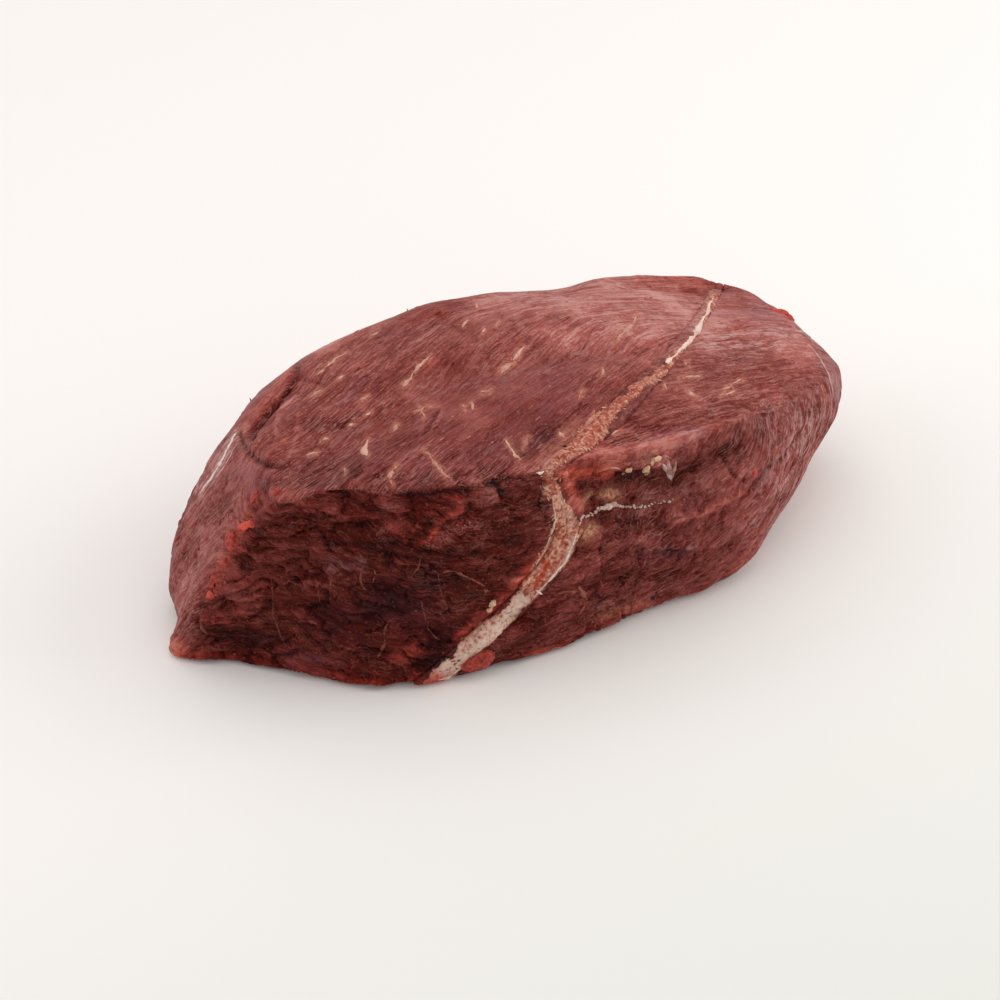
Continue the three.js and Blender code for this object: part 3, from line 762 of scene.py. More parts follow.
TOP_FLECKS = (
    Strand("long fleck", ((430, 356), (421, 364), (411, 377), (403, 387)), 1.6, 0.65),
    Strand("fleck by the left shoulder", ((347, 352), (333, 361), (323, 369), (317, 376)), 0.9, 0.7),
    Strand("its tail", ((343, 376), (337, 379)), 0.9, 0.55),
    Strand("fleck by the furrow", ((321, 391), (311, 397)), 1.4, 0.75),
    Strand("cream fleck", ((523, 347), (518, 356), (511, 363)), 1.3, 0.8),
    Strand("its wide foot", ((511, 363), (505, 369), (500, 373)), 2.6, 0.6),
    Strand("fleck by the thin end", ((636, 316), (633, 325), (626, 330), (617, 339), (612, 344)), 1.2, 0.6),
    Strand("hooked fleck", ((369, 441), (363, 449), (367, 456)), 1.9, 0.85),
    Strand("slanting fleck", ((397, 466), (389, 477), (392, 484)), 1.5, 0.55),
    Strand("running fleck", ((423, 451), (430, 454), (436, 464), (444, 474), (450, 479)), 1.6, 0.5),
) + tuple(
    Strand("fleck", route, width, tint)
    for route, width, tint in (
        (((354, 423), (349, 426)), 1.2, 0.85),
        (((366, 414), (371, 412)), 1.3, 0.85),
        (((330, 438), (322, 441)), 1.2, 0.7),
        (((318, 453), (308, 455)), 1.1, 0.7),
        (((361, 400), (368, 395)), 0.8, 0.6),
        (((466, 320), (463, 327)), 1.1, 0.6),
        (((484, 329), (482, 335)), 1, 0.7),
        (((477, 302), (478, 309)), 0.9, 0.7),
        (((499, 320), (497, 326)), 0.8, 0.6),
        (((481, 393), (486, 391), (491, 388), (490, 392)), 1.3, 0.8),
        (((603, 369), (602, 375)), 0.9, 0.6),
        (((580, 398), (584, 390)), 0.9, 0.5),
        (((506, 440), (512, 450), (520, 460)), 1.4, 0.8),
        (((529, 436), (525, 441), (524, 447)), 1.4, 0.25),
        (((561, 432), (564, 437)), 1.5, 0.7),
        (((463, 405), (466, 411)), 0.9, 0.5),
        (((472, 402), (473, 408)), 0.9, 0.55),
        (((345, 468), (344, 474)), 1, 0.5),
        (((378, 331), (371, 336)), 1, 0.6),
        (((414, 411), (423, 408), (440, 405)), 0.9, 0.6),
        (((421, 410), (424, 418)), 1, 0.6),
        (((397, 425), (393, 431)), 1.2, 0.55),
        (((680, 378), (688, 377), (700, 376)), 0.9, 0.75),
        (((688, 392), (693, 396), (698, 396)), 1.8, 0.7),
        (((664, 383), (665, 390)), 1, 0.7),
        (((686, 362), (688, 365)), 1.2, 1),
        (((724, 389), (734, 383), (744, 379)), 0.9, 0.6),
        (((720, 396), (735, 391)), 0.9, 0.7),
        (((612, 434), (620, 431)), 1, 0.6),
    )
)

SEAM_THREADS = (
    Strand("white thread at the back", ((714, 297), (709, 304), (708, 313), (702, 320), (699, 328),
           (694, 337), (687, 343), (679, 351), (672, 358), (668, 364)), 1.8, 0.8, -0.6),
    Strand("knot of the thread", ((672, 357), (669, 360), (666, 363)), 1.7, 1, -0.4),
    Strand("white tag on the rim", ((536, 473), (540, 474), (544, 471)), 0.6, 0.8, 0.2),
    Strand("spur of the seam", ((551, 492), (545, 488), (540, 486)), 0.7, 0.4, 0),
    Strand("clean right edge", ((577, 533), (573, 545), (565, 562), (551, 578), (535, 596)), 0.75, 0.8, -0.1),
    Strand("clean left edge", ((553, 500), (556, 520), (551, 535), (546, 548), (535, 566)), 0.6, 0.6, -0.1),
    Strand("edge of the tongue", ((459, 669), (450, 677), (438, 680)), 0.7, 0.6, 0),
    Strand("tag", ((536, 590), (542, 594)), 0.9, 0.7, 0.4),
    Strand("fan line", ((560, 462), (570, 456), (582, 453)), 0.45, 0.2, -0.5),
    Strand("line in the hollow", ((594, 463), (610, 460), (622, 462)), 0.4, 0.25, -0.5),
    Strand("second line in the hollow", ((608, 467), (615, 468), (622, 470)), 0.4, 0.4, -0.4),
)

VEINS = (
    Strand("vein on the left of the cut face", ((271, 576), (273, 600), (273, 617), (279, 633), (286, 646)),
           0.68, 0.3),
    Strand("vein", ((318, 583), (320, 604)), 0.45, 0.35),
    Strand("vein", ((330, 578), (330, 600)), 0.45, 0.35),
    Strand("curl", ((298, 623), (303, 621), (312, 622), (318, 625)), 0.52, 0.5),
    Strand("vein", ((358, 553), (366, 561)), 0.68, 0.45),
    Strand("loop", ((361, 571), (361, 583), (367, 591)), 0.68, 0.55),
    Strand("loop", ((373, 569), (376, 575), (373, 582)), 0.52, 0.45),
    Strand("vein", ((421, 557), (419, 566), (411, 577)), 0.45, 0.35),
    Strand("branching vein", ((438, 575), (441, 573), (454, 571), (467, 577), (480, 583), (487, 587)), 0.75,
           0.55),
    Strand("its lower branch", ((438, 575), (441, 590), (445, 605)), 0.45, 0.4),
    Strand("vein", ((421, 600), (425, 620), (430, 632), (440, 640)), 0.6, 0.4),
    Strand("vein", ((440, 612), (446, 620)), 0.52, 0.5),
    Strand("fan vein", ((398, 618), (388, 621), (384, 633), (385, 644), (377, 658), (369, 668)), 0.75, 0.25),
    Strand("its twig", ((384, 624), (378, 616)), 0.45, 0.4),
    Strand("pink blob", ((484, 590), (489, 591)), 1.2, 0.6),
    Strand("flake", ((478, 484), (484, 488)), 0.98, 0.5, 0.6),
    Strand("flake", ((484, 494), (492, 492), (492, 497)), 1.05, 0.6, 0.6),
    Strand("speckle", ((233, 653), (236, 655)), 0.9, 0.5, 0.6),
    Strand("speckle", ((243, 658), (246, 659)), 0.75, 0.5, 0.6),
    Strand("speckle", ((333, 678), (336, 678)), 0.75, 0.5, 0.6),
    Strand("tag on the left end", ((200, 622), (203, 630), (208, 634)), 0.83, 0.6, 0.5),
    Strand("lilac line of the pocket", ((613, 500), (623, 496), (636, 490), (643, 484), (651, 480),
           (660, 476)), 0.8, 0.8, 0.5),
    Strand("lilac arc", ((632, 465), (640, 458), (650, 455), (658, 455)), 0.9, 0.85, 0.4),
    Strand("forked vein", ((579, 586), (583, 594), (588, 601)), 1.2, 1, -0.2),
    Strand("its left arm", ((577, 592), (568, 591), (558, 593)), 0.7, 0.8),
    Strand("its foot", ((588, 601), (582, 610), (577, 618)), 0.8, 0.8),
    Strand("fleck", ((600, 580), (603, 587)), 0.75, 0.55),
    Strand("streak", ((640, 541), (650, 535), (658, 532)), 0.75, 0.5),
    Strand("fold's light edge", ((672, 520), (684, 516), (694, 515)), 0.98, 0.55, 0.3),
    Strand("membrane", ((768, 515), (775, 500), (780, 480), (790, 458)), 0.52, 0.45),
    Strand("membrane", ((783, 450), (787, 420), (790, 405)), 0.45, 0.5),
    Strand("membrane", ((800, 455), (806, 440), (808, 430)), 0.45, 0.5),
    Strand("membrane", ((745, 535), (752, 515), (760, 502)), 0.45, 0.4),
    Strand("cream line", ((701, 488), (707, 494)), 0.6, 0.7),
    Strand("strand on the shoulder", ((705, 335), (720, 345), (740, 350), (760, 345), (775, 341), (790, 337)),
           0.8, 0.75),
    Strand("strand on the shoulder", ((712, 329), (728, 336), (748, 341), (768, 336)), 0.45, 0.7),
    Strand("strand on the shoulder", ((700, 345), (714, 353), (736, 358), (752, 353)), 0.45, 0.6),
    Strand("strand at the far end", ((788, 330), (800, 333), (812, 341)), 0.6, 0.8),
    Strand("membrane", ((204, 520), (198, 545), (196, 565)), 0.45, 0.45),
    Strand("membrane", ((189, 548), (187, 566), (190, 582)), 0.52, 0.5),
    Strand("membrane", ((226, 500), (220, 520), (214, 540)), 0.38, 0.4),
)

BEADED_BRANCH = (
    (578, 523), (582, 517), (588, 514), (594, 512), (600, 508), (607, 506), (614, 505), (621, 506),
    (628, 507), (634, 507), (640, 507), (647, 506), (655, 504), (661, 503), (668, 502), (674, 499),
)


@dataclass(frozen=True)
class Lump:
    """A small rounded bit that the photograph shows standing on the surface.

    Fields: middle in pixels, length, width and height in millimetres, turn of its length in the picture in
    degrees (0 points right, 90 up), how far its middle stands out as a share of its height, and its tint.
    """

    name: str
    at: Pixel
    length: float
    width: float
    height: float
    turn: float = 0.0
    stand: float = 0.1
    tint: float = 0.4


RED_LUMPS = (
    Lump("nub on the ridge", (255, 497), 4.6, 1.7, 1.6, 35, 0, 0.5),
    Lump("pointed nub", (246, 526), 6.5, 2.7, 2, 8, 0.2, 1),
    Lump("its broad end", (254, 523), 3.6, 2.8, 2, 30, 0.1, 0.6),
    Lump("round nub", (230, 541), 6.4, 5.2, 3, 60, -0.1, 0.5),
    Lump("its shoulder", (241, 549), 6, 3.6, 2.6, -15, -0.15, 0.3),
    Lump("small nub", (226, 563), 3, 2.6, 2, 70, -0.1, 0.35),
    Lump("low nub", (213, 581), 4.6, 3, 2.2, 60, -0.15, 0.35),
    Lump("orange nub", (211, 595), 3, 2.4, 2, 70, 0, 0.7),
    Lump("lobe on the left", (216, 618), 4.4, 2.8, 1.8, 50, -0.2, 0.3),
    Lump("lobe at the seam's foot", (476, 661), 12.5, 7.6, 4.8, 34, -0.1, 0.4),
    Lump("knob on the corner", (277, 493), 2.4, 2, 1.6, 60, 0.1, 0.5),
    Lump("torn tip at the back", (789, 315), 5.6, 2, 1.8, -8, 0.1, 1.6),
    Lump("its root", (780, 312), 6.5, 2.4, 1.8, -12, 0, 0.8),
    Lump("moist dot on the flank", (754, 474), 2.4, 1.9, 1.3, 40, 0.1, 0.7),
)

CREAM_LUMPS = (
    Lump("left nub in the pocket", (628, 470), 2.6, 1.4, 1.3, 15, 0.2, 0.55),
    Lump("its tail", (623, 472), 1.8, 0.9, 0.9, 20, 0.2, 0.3),
    Lump("long nub in the pocket", (646, 468), 2.9, 1.7, 1.6, 75, 0.3, 0.75),
    Lump("its foot", (647, 472), 1.9, 1.5, 1.4, 40, 0.2, 0.5),
    Lump("curl between the nubs", (651, 463), 2.4, 1, 1, 35, 0.4, 0.5),
    Lump("nub over the pocket", (657, 459), 2.3, 1.8, 1.6, 20, 0.3, 0.95),
    Lump("its shoulder", (653, 460), 1.6, 1.2, 1.2, 0, 0.3, 0.6),
    Lump("nub by the seam", (492, 603), 2.6, 1.9, 1.8, 70, 0.3, 0.8),
    Lump("nub by the seam", (489, 609), 1.8, 1.4, 1.4, 20, 0.3, 0.6),
)


@dataclass(frozen=True)
class Stretch:
    """One place on the way round the side of the roast, clockwise from the back end of the seam.

    Fields: plan point in millimetres, slant of the fibres in degrees (0 lies flat, 90 stands), tone of the
    lean, share of membrane, and how craggy the cut is.
    """

    name: str
    x: float
    y: float
    slant: float
    tone: float
    haze: float
    crag: float


STRETCHES = (
    Stretch("back end of the seam", 106, 17, 76, 0.66, 0.2, 0.3),
    Stretch("right end", 119, -25, 74, 0.6, 0.46, 0.3),
    Stretch("right flank", 97, -45, 60, 0.74, 1, 0.45),
    Stretch("turning", 68, -54, 44, 0.52, 0.55, 0.52),
    Stretch("right of the pocket", 42, -58, 17, 0.56, 0.16, 0.58),
    Stretch("front of the short muscle", 10, -57, 8, 0.47, 0.08, 0.55),
    Stretch("front end of the seam", -26, -54, 0, 0.36, 0.02, 0.6),
    Stretch("middle of the cut face", -60, -44, -14, 0.23, 0.01, 0.8),
    Stretch("left of the cut face", -92, -21, -10, 0.28, 0.01, 0.95),
    Stretch("flared corner", -113, -2, 4, 0.36, 0.03, 0.9),
    Stretch("round the corner", -117, 14, 72, 0.64, 0.42, 0.35),
    Stretch("left end", -98, 37, 80, 0.62, 0.42, 0.38),
    Stretch("left of the back", -55, 51, 74, 0.58, 0.3, 0.48),
    Stretch("middle of the back", 22, 52, 70, 0.58, 0.25, 0.52),
    Stretch("right of the back", 70, 40, 68, 0.6, 0.3, 0.45),
    Stretch("back end of the long muscle", 103, 21, 72, 0.62, 0.4, 0.38),
)


class Girth:
    """Measures the way round the roast, in millimetres, clockwise from the back end of the seam."""

    BINS = 240
    LOW, HIGH = 20.0, 50.0  # heights between which the outline is taken
    MIDDLE, SPAN = 33.0, 66.0  # heights over which the flared corner leans
    CORNER = (-108.0, -4.0, 30.0)
    CORNER_LEAN = 24.0  # how far the flared corner's foot lies past its rim
    CORNER_REACH = 34.0
    CLEARANCE = 3.0  # how far outside the outline hidden threads are looked for

    def __init__(self, points: np.ndarray) -> None:
        """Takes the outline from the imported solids.

        Args:
            points: All their points, in millimetres.
        """
        self.start = math.atan2(STRETCHES[0].y, STRETCHES[0].x)
        band = points[(points[:, 2] > self.LOW) & (points[:, 2] < self.HIGH)]
        slot = (self.turn(band) / (2 * math.pi) * self.BINS).astype(int) % self.BINS
        radius = np.zeros(self.BINS)
        np.maximum.at(radius, slot, np.hypot(band[:, 0], band[:, 1]))
        filled = np.flatnonzero(radius)
        radius = np.interp(np.arange(self.BINS), filled, radius[filled], period=self.BINS)
        self.angles = (np.arange(self.BINS + 1) + 0.5) / self.BINS * 2 * math.pi
        self.radii = np.append(radius, radius[0])
        outline = np.column_stack([np.cos(self.angles), np.sin(self.angles)]) * self.radii[:, None]
        self.lengths = np.append(0.0, np.cumsum(np.hypot(*np.diff(outline, axis=0).T)))
        self.corner = self.at(np.array([self.CORNER]), leaning=False)[0]

    def turn(self, points: np.ndarray) -> np.ndarray:
        """Gives each point's angle past the start, clockwise, from 0 to a full turn."""
        return (self.start - np.arctan2(points[:, 1], points[:, 0])) % (2 * math.pi)

    def radius_at(self, points: np.ndarray) -> np.ndarray:
        """Gives the outline's distance from the middle in each point's direction, in millimetres."""
        return np.interp(self.turn(points), self.angles, self.radii)

    def place(self, way: float, height: float) -> Vector:
        """Gives a point just outside the outline, in metres, from its way and height in millimetres.

        Args:
            way: Millimetres round the roast.
            height: Millimetres above the board.

        Returns:
            The point.
        """
        turn = np.interp(way % self.lengths[-1], self.lengths, self.angles)
        radius = np.interp(turn % (2 * math.pi), self.angles, self.radii) + self.CLEARANCE
        angle = self.start - turn
        return Vector(np.array([radius * math.cos(angle), radius * math.sin(angle), height]) * MM)

    def at(self, points: np.ndarray, leaning: bool = True) -> np.ndarray:
        """Gives each point's way round the roast.

        Args:
            points: Rows of points, in millimetres.
            leaning: Whether the slanting front left edge is made upright.

        Returns:
            Millimetres from the start, one for each point.
        """
        way = np.interp(self.turn(points), self.angles, self.lengths)
        if leaning:
            height = (points[:, 2] - self.MIDDLE) / self.SPAN
            way = way + height * self.CORNER_LEAN * bell(way - self.corner, self.CORNER_REACH)
        return way


class Grain:
    """Fibre coordinates of the lean: how far along a fibre and how far across the fibres each point lies."""

    LONG_AIM = 20.0  # degrees from +X in which the long muscle's top fibres run at LONG_MIDDLE
    LONG_MIDDLE = (-18.0, 1.0)
    LONG_BEND = 0.0007  # 1/mm, how fast they swing round along the muscle
    RIM_AIM = 48.0  # degrees from +X in which the long muscle's back rim lies
    RIM_START = 32.0  # millimetres out in that direction from which the fibres turn to lie along the rim
    RIM_EASE = 3.5
    RIM_PULL = 1.5
    SHORT_TENDON = (124.0, -20.0)  # plan point at the far end on which the short muscle's top fibres close in
    SHORT_AIM = 172.0  # degrees from +X in which they leave it
    SHORT_SPREAD = 0.65  # 1 for fibres side by side, 0 for fibres that fan out
    SHORT_REACH = 45.0  # millimetres from it at which their width is true
    MID_HEIGHT = 35.0
    STEPS = 400

    def __init__(self, girth: Girth) -> None:
        """Adds up the fibres' slant along the way round.

        Args:
            girth: The outline that the way is measured on.
        """
        places = np.array([[s.x, s.y, self.MID_HEIGHT] for s in STRETCHES])
        self.girth = girth
        self.stations = girth.at(places, leaning=False)
        self.stations[0] = 0.0
        self.way = np.linspace(0.0, girth.lengths[-1], self.STEPS)
        slant = np.radians(self.read("slant", self.way))
        step = self.way[1] - self.way[0]
        self.across_sum = np.cumsum(np.sin(slant)) * step
        self.along_sum = np.cumsum(np.cos(slant)) * step

    def read(self, what: str, way: np.ndarray) -> np.ndarray:
        """Reads one of the stretches' values at places on the way round."""
        return np.interp(way, self.stations, [getattr(s, what) for s in STRETCHES])

    def on_wall(self, way: np.ndarray, height: np.ndarray) -> np.ndarray:
        """Gives fibre coordinates on the side of the roast.

        Args:
            way: Millimetres round the roast.
            height: Millimetres above the floor.

        Returns:
            Rows of millimetres along, across and 0.
        """
        slant = np.radians(self.read("slant", way))
        rise = height - self.MID_HEIGHT
        across = rise * np.cos(slant) + np.interp(way, self.way, self.across_sum)
        along = rise * np.sin(slant) - np.interp(way, self.way, self.along_sum)
        return np.column_stack([along, across, np.zeros(len(way))])

    def on_top(self, points: np.ndarray, short: bool) -> np.ndarray:
        """Gives fibre coordinates on the top.

        The long muscle's fibres lie in shallow bows along the rim at the back, the short one's close in on
        its far end.

        Args:
            points: Rows of points, in millimetres.
            short: Whether they lie on the short muscle.

        Returns:
            Rows of millimetres along, across and 0.
        """
        if short:
            offset = points[:, :2] - np.array(self.SHORT_TENDON)
            along = np.hypot(offset[:, 0], offset[:, 1])
            aim = math.radians(self.SHORT_AIM)
            side = (np.arctan2(offset[:, 1], offset[:, 0]) - aim + math.pi) % (2 * math.pi) - math.pi
            across = side * self.SHORT_REACH * (along / self.SHORT_REACH) ** self.SHORT_SPREAD
        else:
            turn, rim = math.radians(self.LONG_AIM), math.radians(self.RIM_AIM)
            offset = points[:, :2] - np.array(self.LONG_MIDDLE)
            along = offset @ np.array([math.cos(turn), math.sin(turn)])
            across = offset @ np.array([-math.sin(turn), math.cos(turn)])
            beyond = points[:, :2] @ np.array([math.cos(rim), math.sin(rim)]) - self.RIM_START
            across += self.RIM_PULL * self.RIM_EASE * np.logaddexp(0.0, beyond / self.RIM_EASE)
            across -= self.LONG_BEND * along**2
        return np.column_stack([along, across, np.zeros(len(points))])

    def direction(
        self, points: np.ndarray, normals: np.ndarray, way: np.ndarray, crown: np.ndarray, short: bool
    ) -> np.ndarray:
        """Gives the direction of the fibres.

        Args:
            points: Rows of points, in millimetres.
            normals: The direction that each point faces.
            way: Millimetres round the roast.
            crown: Share of the top at each point.
            short: Whether the points are on the short muscle.

        Returns:
            Rows of directions in the frame.
        """
        slant = np.radians(self.read("slant", way))
        level = np.column_stack([normals[:, 1], -normals[:, 0]])
        level /= np.linalg.norm(level, axis=1)[:, None] + 1e-6
        side = np.column_stack([-level * np.cos(slant)[:, None], np.sin(slant)])
        here = self.on_top(points, short)[:, 1]
        steps = ((0.1, 0.0, 0.0), (0.0, 0.1, 0.0))
        east, north = (self.on_top(points + step, short)[:, 1] - here for step in steps)
        top = np.column_stack([north, -east, np.zeros(len(points))])
        top /= np.linalg.norm(top, axis=1)[:, None] + 1e-6
        return np.where(crown[:, None] > 0.5, top, side)


def distance_to_route(pixels: np.ndarray, route: tuple[Pixel, ...]) -> np.ndarray:
    """Measures how far points lie from a route, all in pixels.

    Args:
        pixels: Rows of pixel coordinates.
        route: One or more corners of the route.

    Returns:
        The distance to the nearest part of the route, one for each point.
    """
    corners = np.array(route, dtype=float)
    best = np.hypot(*(pixels - corners[0]).T)
    for start, end in zip(corners[:-1], corners[1:]):
        along = end - start
        share = np.clip((pixels - start) @ along / (along @ along), 0.0, 1.0)
        best = np.minimum(best, np.hypot(*(pixels - start - share[:, None] * along).T))
    return best


def inside(pixels: np.ndarray, corners: tuple[Pixel, ...]) -> np.ndarray:
    """Tells which points lie inside a closed outline, all in pixels.

    Args:
        pixels: Rows of pixel coordinates.
        corners: Corners of the outline.

    Returns:
        One answer for each point.
    """
    found = np.zeros(len(pixels), dtype=bool)
    across, down = pixels.T
    for (x0, y0), (x1, y1) in zip(corners, corners[1:] + corners[:1]):
        if y0 != y1:
            crossed = (down < y0) != (down < y1)
            found ^= crossed & (across < x0 + (down - y0) * (x1 - x0) / (y1 - y0))
    return found


class Skin:
    """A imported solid's surface as a fine closed mesh, and what its fibres and marks need to know of it."""

    FOOT_HEIGHT = 12.0  # millimetres up to which the foot of the roast is scalloped
    FOOT_WAVE = 8.5  # millimetres between two scallops
    FOOT_SWING = 1.5  # millimetres that they reach in and out
    RIDGE_REACH = 9.0  # millimetres to either side of the flared corner's ragged ridge
    RIDGE_LUMPS = 1.3  # millimetres that its lumps stand out
    RIDGE_LUMP = 4.6  # size of a lump in millimetres
    TOP_FACING = (0.38, 0.86)  # how squarely a point faces up, from the side to the top
    TOP_LEVEL = (34.0, 44.0)  # millimetres above the board over which the top begins
    SEEDS = (100, 400)  # pick the noise of the long and of the short muscle

    def __init__(self, node: str, voxel: float, rounds: int, grain: Grain, view: Viewpoint) -> None:
        """Evens out a node's faceted solid, whose own mesh is left alone.

        Args:
            node: Name of the CAD node.
            voxel: Size of the fine mesh, in millimetres.
            rounds: How many times the facets are smoothed.
            grain: Fibre coordinates.
            view: The photograph's camera, through which marks are placed.
        """
        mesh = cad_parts[node].data.copy()
        mesh.materials.clear()
        shell = bmesh.new()
        shell.from_mesh(mesh)
        bmesh.ops.remove_doubles(shell, verts=shell.verts, dist=1e-6)
        shell.to_mesh(mesh)
        shell.free()
        worker = as_object("worker", mesh)
        even = worker.modifiers.new("even", "REMESH")
        even.mode = "VOXEL"
        even.voxel_size = voxel * MM
        ease = worker.modifiers.new("ease", "SMOOTH")
        ease.factor = 0.5
        ease.iterations = rounds
        self.node, self.grain, self.view = node, grain, view
        self.mesh = settled(worker)
        self.note(mesh_points(self.mesh))

    def note(self, points: np.ndarray) -> None:
        """Notes where the points lie, in millimetres, how they face and where the photograph shows them.

        Args:
            points: The mesh's points, in millimetres.
        """
        self.points, self.normals = points, mesh_normals(self.mesh)
        self.way = self.grain.girth.at(points)
        self.pixels = self.view.pixels(points)
        towards = self.view.place() / MM - points
        towards /= np.linalg.norm(towards, axis=1)[:, None]
        self.square = np.sum(self.normals * towards, axis=1)
        self.facing = smooth_step(-0.02, 0.18, self.square)

    def open_share(self, contact: BVHTree, low: float, high: float) -> np.ndarray:
        """Tells how freely points may move: not against what the skin touches, nor on the board.

        Args:
            contact: What the skin touches.
            low: Distance from it in millimetres up to which the share is 0.
            high: Distance in millimetres from which it is 1.

        Returns:
            One share for each point.
        """
        reach = high * MM
        found = (contact.find_nearest(Vector(p), reach)[3] for p in self.points * MM)
        distance = np.array([reach if d is None else d for d in found]) / MM
        return smooth_step(low, high, distance) * smooth_step(0.2, 2.5, self.points[:, 2])

    def round_off(self, rounds: int, share: np.ndarray) -> None:
        """Rounds off sharp rims by drawing points towards their neighbours, and scallops the foot.

        Args:
            rounds: How many times they are drawn.
            share: How freely each point may move.
        """
        ends = np.empty(len(self.mesh.edges) * 2, dtype=np.int32)
        self.mesh.edges.foreach_get("vertices", ends)
        one, other = ends.reshape(-1, 2).T
        points, count = self.points, len(self.points)
        neighbours = np.bincount(one, minlength=count) + np.bincount(other, minlength=count)
        for _ in range(rounds):
            sums = [np.bincount(one, points[other, i], count) + np.bincount(other, points[one, i], count)
                    for i in range(3)]
            middle = np.column_stack(sums) / neighbours[:, None]
            points = points + (middle - points) * (0.5 * share)[:, None]
        points = self.scalloped(points)
        place_points(self.mesh, points)
        self.note(points)

    def scalloped(self, points: np.ndarray) -> np.ndarray:
        """Waves the foot of the roast in and out a little, where it spreads on the board.

        Args:
            points: Rows of points, in millimetres.

        Returns:
            The moved points.
        """
        way = self.grain.girth.at(points, leaning=False)
        radius = np.hypot(points[:, 0], points[:, 1])
        rim = smooth_step(0.72, 0.98, radius / self.grain.girth.radius_at(points))
        foot = smooth_step(self.FOOT_HEIGHT, self.FOOT_HEIGHT * 0.25, points[:, 2])
        cells = np.column_stack([way / self.FOOT_WAVE, np.full(len(way), 0.3), np.full(len(way), 0.8)])
        share = self.FOOT_SWING * fractal(cells, 610, 2) * rim * foot / np.maximum(radius, 1.0)
        return points * np.column_stack([1.0 + share, 1.0 + share, np.ones(len(way))])

    def shake(self, size: float, seed: int) -> np.ndarray:
        """Gives how far each point's pixel strays, by noise of a size in millimetres."""
        return np.column_stack([fractal(self.points / size, one, 2) for one in (seed, seed + 20)])

    def on_seam(self) -> np.ndarray:
        """Tells which points lie in the seam as the photograph shows it, with a ragged edge."""
        shaken = self.pixels + self.shake(1.5, 171) * 1.7
        return np.any([inside(shaken, band) for band in SEAM_BANDS], axis=0).astype(float)

    def paint(self, marks: tuple[Mark, ...], values: dict[Tint, np.ndarray], lift: np.ndarray) -> None:
        """Lays marks on the points that the photograph shows, with their tints fading out behind its horizon.

        Args:
            marks: Marks to lay.
            values: Tints at each point, changed in place.
            lift: Millimetres along the normal, changed in place.
        """
        fading = smooth_step(-0.85, 0.0, self.square)
        shake = self.shake(2.6, 71)
        for mark in marks:
            share = bell(distance_to_route(self.pixels + shake * mark.ragged, mark.route), mark.reach)
            lift += share * mark.lift * self.facing
            for tint, amount in mark.tints.items():
                values[tint] += share * amount * fading

    def relief(
        self, wall: np.ndarray, top: np.ndarray, crown: np.ndarray, crag: np.ndarray, hidden: np.ndarray,
        seed: int,
    ) -> np.ndarray:
        """Works out how far the lean's fibres, bundles and cracks stand out of the smooth form.

        Args:
            wall: Fibre coordinates on the side.
            top: Fibre coordinates on the top.
            crown: Share of the top at each point.
            crag: How craggy the side is at each point.
            hidden: Share of the sides that the photograph doesn't show.
            seed: Picks the noise.

        Returns:
            Millimetres along the normal, one for each point.
        """
        points = self.points
        sway = np.column_stack([fractal(points / 14.0, seed + 60, 2), fractal(points / 11.0, seed + 70, 2)])
        wall = wall + np.column_stack([sway * (2.5, 3.0) * (0.3 + crag[:, None]), np.zeros(len(points))])
        bundles = fractal(wall / (15.0, 4.0, 1.0), seed, 2)
        layers = 1 - 1.4 * np.abs(fractal(wall / (10.0, 2.4, 1.0), seed + 10, 2))
        crack = smooth_step(0.86, 0.99, 1 - np.abs(fractal(wall / (12.0, 3.8, 1.0), seed + 20, 2)))
        crumbs = fractal(points / 3.4, seed + 30, 2)
        side = bundles * (0.26 + 0.80 * crag) + layers * (0.16 + 0.55 * crag)
        side += crumbs * 0.22 * crag**2 - crack * 1.8 * crag**2
        crease = smooth_step(0.90, 0.995, 1 - np.abs(fractal(wall / (34.0, 7.5, 1.0), seed + 80, 2)))
        swells = fractal(points / 17.0, seed + 90, 2)
        side += (swells * 0.9 - crease * 1.1) * (1 - 0.6 * crag) * (1 + 0.9 * hidden)
        ripples = fractal(top / (30.0, 4.6, 1.0), seed + 40)
        strands = fractal(top / (12.0, 1.9, 1.0), seed + 50, 2)
        return side * (1 - crown) + (swells * 0.35 + ripples * 0.26 + strands * 0.16) * crown

    def cover(self, finish: "LeanMeat", outer: np.ndarray, short: bool) -> np.ndarray:
        """Keeps on the mesh all that the lean's finish reads, and works out the lean's relief.

        Args:
            finish: Finish, which holds the tone of the top.
            outer: Share of each point that lies in the open.
            short: Whether the lean is the short muscle's.

        Returns:
            Millimetres along the normal, one for each point.
        """
        grain, points, way = self.grain, self.points, self.way
        wall, top = grain.on_wall(way, points[:, 2]), grain.on_top(points, short)
        crown = smooth_step(*self.TOP_FACING, self.normals[:, 2]) * smooth_step(*self.TOP_LEVEL, points[:, 2])
        hidden = smooth_step(0.0, -0.35, self.square) * (1 - crown)
        crag = grain.read("crag", way) * (1 - crown)
        ridge = bell(way - grain.girth.corner, self.RIDGE_REACH) * (1 - crown)
        seed = self.SEEDS[short]
        lift = self.relief(wall, top, crown, crag, hidden, seed)
        lift += fractal(points / self.RIDGE_LUMP, 640, 2) * ridge * self.RIDGE_LUMPS
        # kept for the finish too, which paints the hollows of this relief darker and its swellings lighter,
        # as painted shade and light
        keep(self.mesh, {"relief": lift})
        sheets = smooth_step(0.06, 0.26, fractal(points / (24.0, 24.0, 15.0), seed + 95, 3))
        bruise = smooth_step(0.10, 0.34, fractal(points / 21.0, seed + 97, 2))
        values = {tint: np.zeros(len(points)) for tint in Tint if tint is not Tint.WHITE}
        values[TONE] += grain.read("tone", way) * (1 - crown) + finish.top_tone * crown
        values[TONE] += hidden * (0.22 * fractal(points / 19.0, seed + 96, 2) + 0.10 * sheets)
        values[HAZE] += grain.read("haze", way) * (1 - crown) + finish.top_haze * crown
        values[HAZE] += hidden * sheets * 0.85
        values[VIOLET] += hidden * bruise * 0.7
        values[SLEEK] += hidden * sheets * 0.7
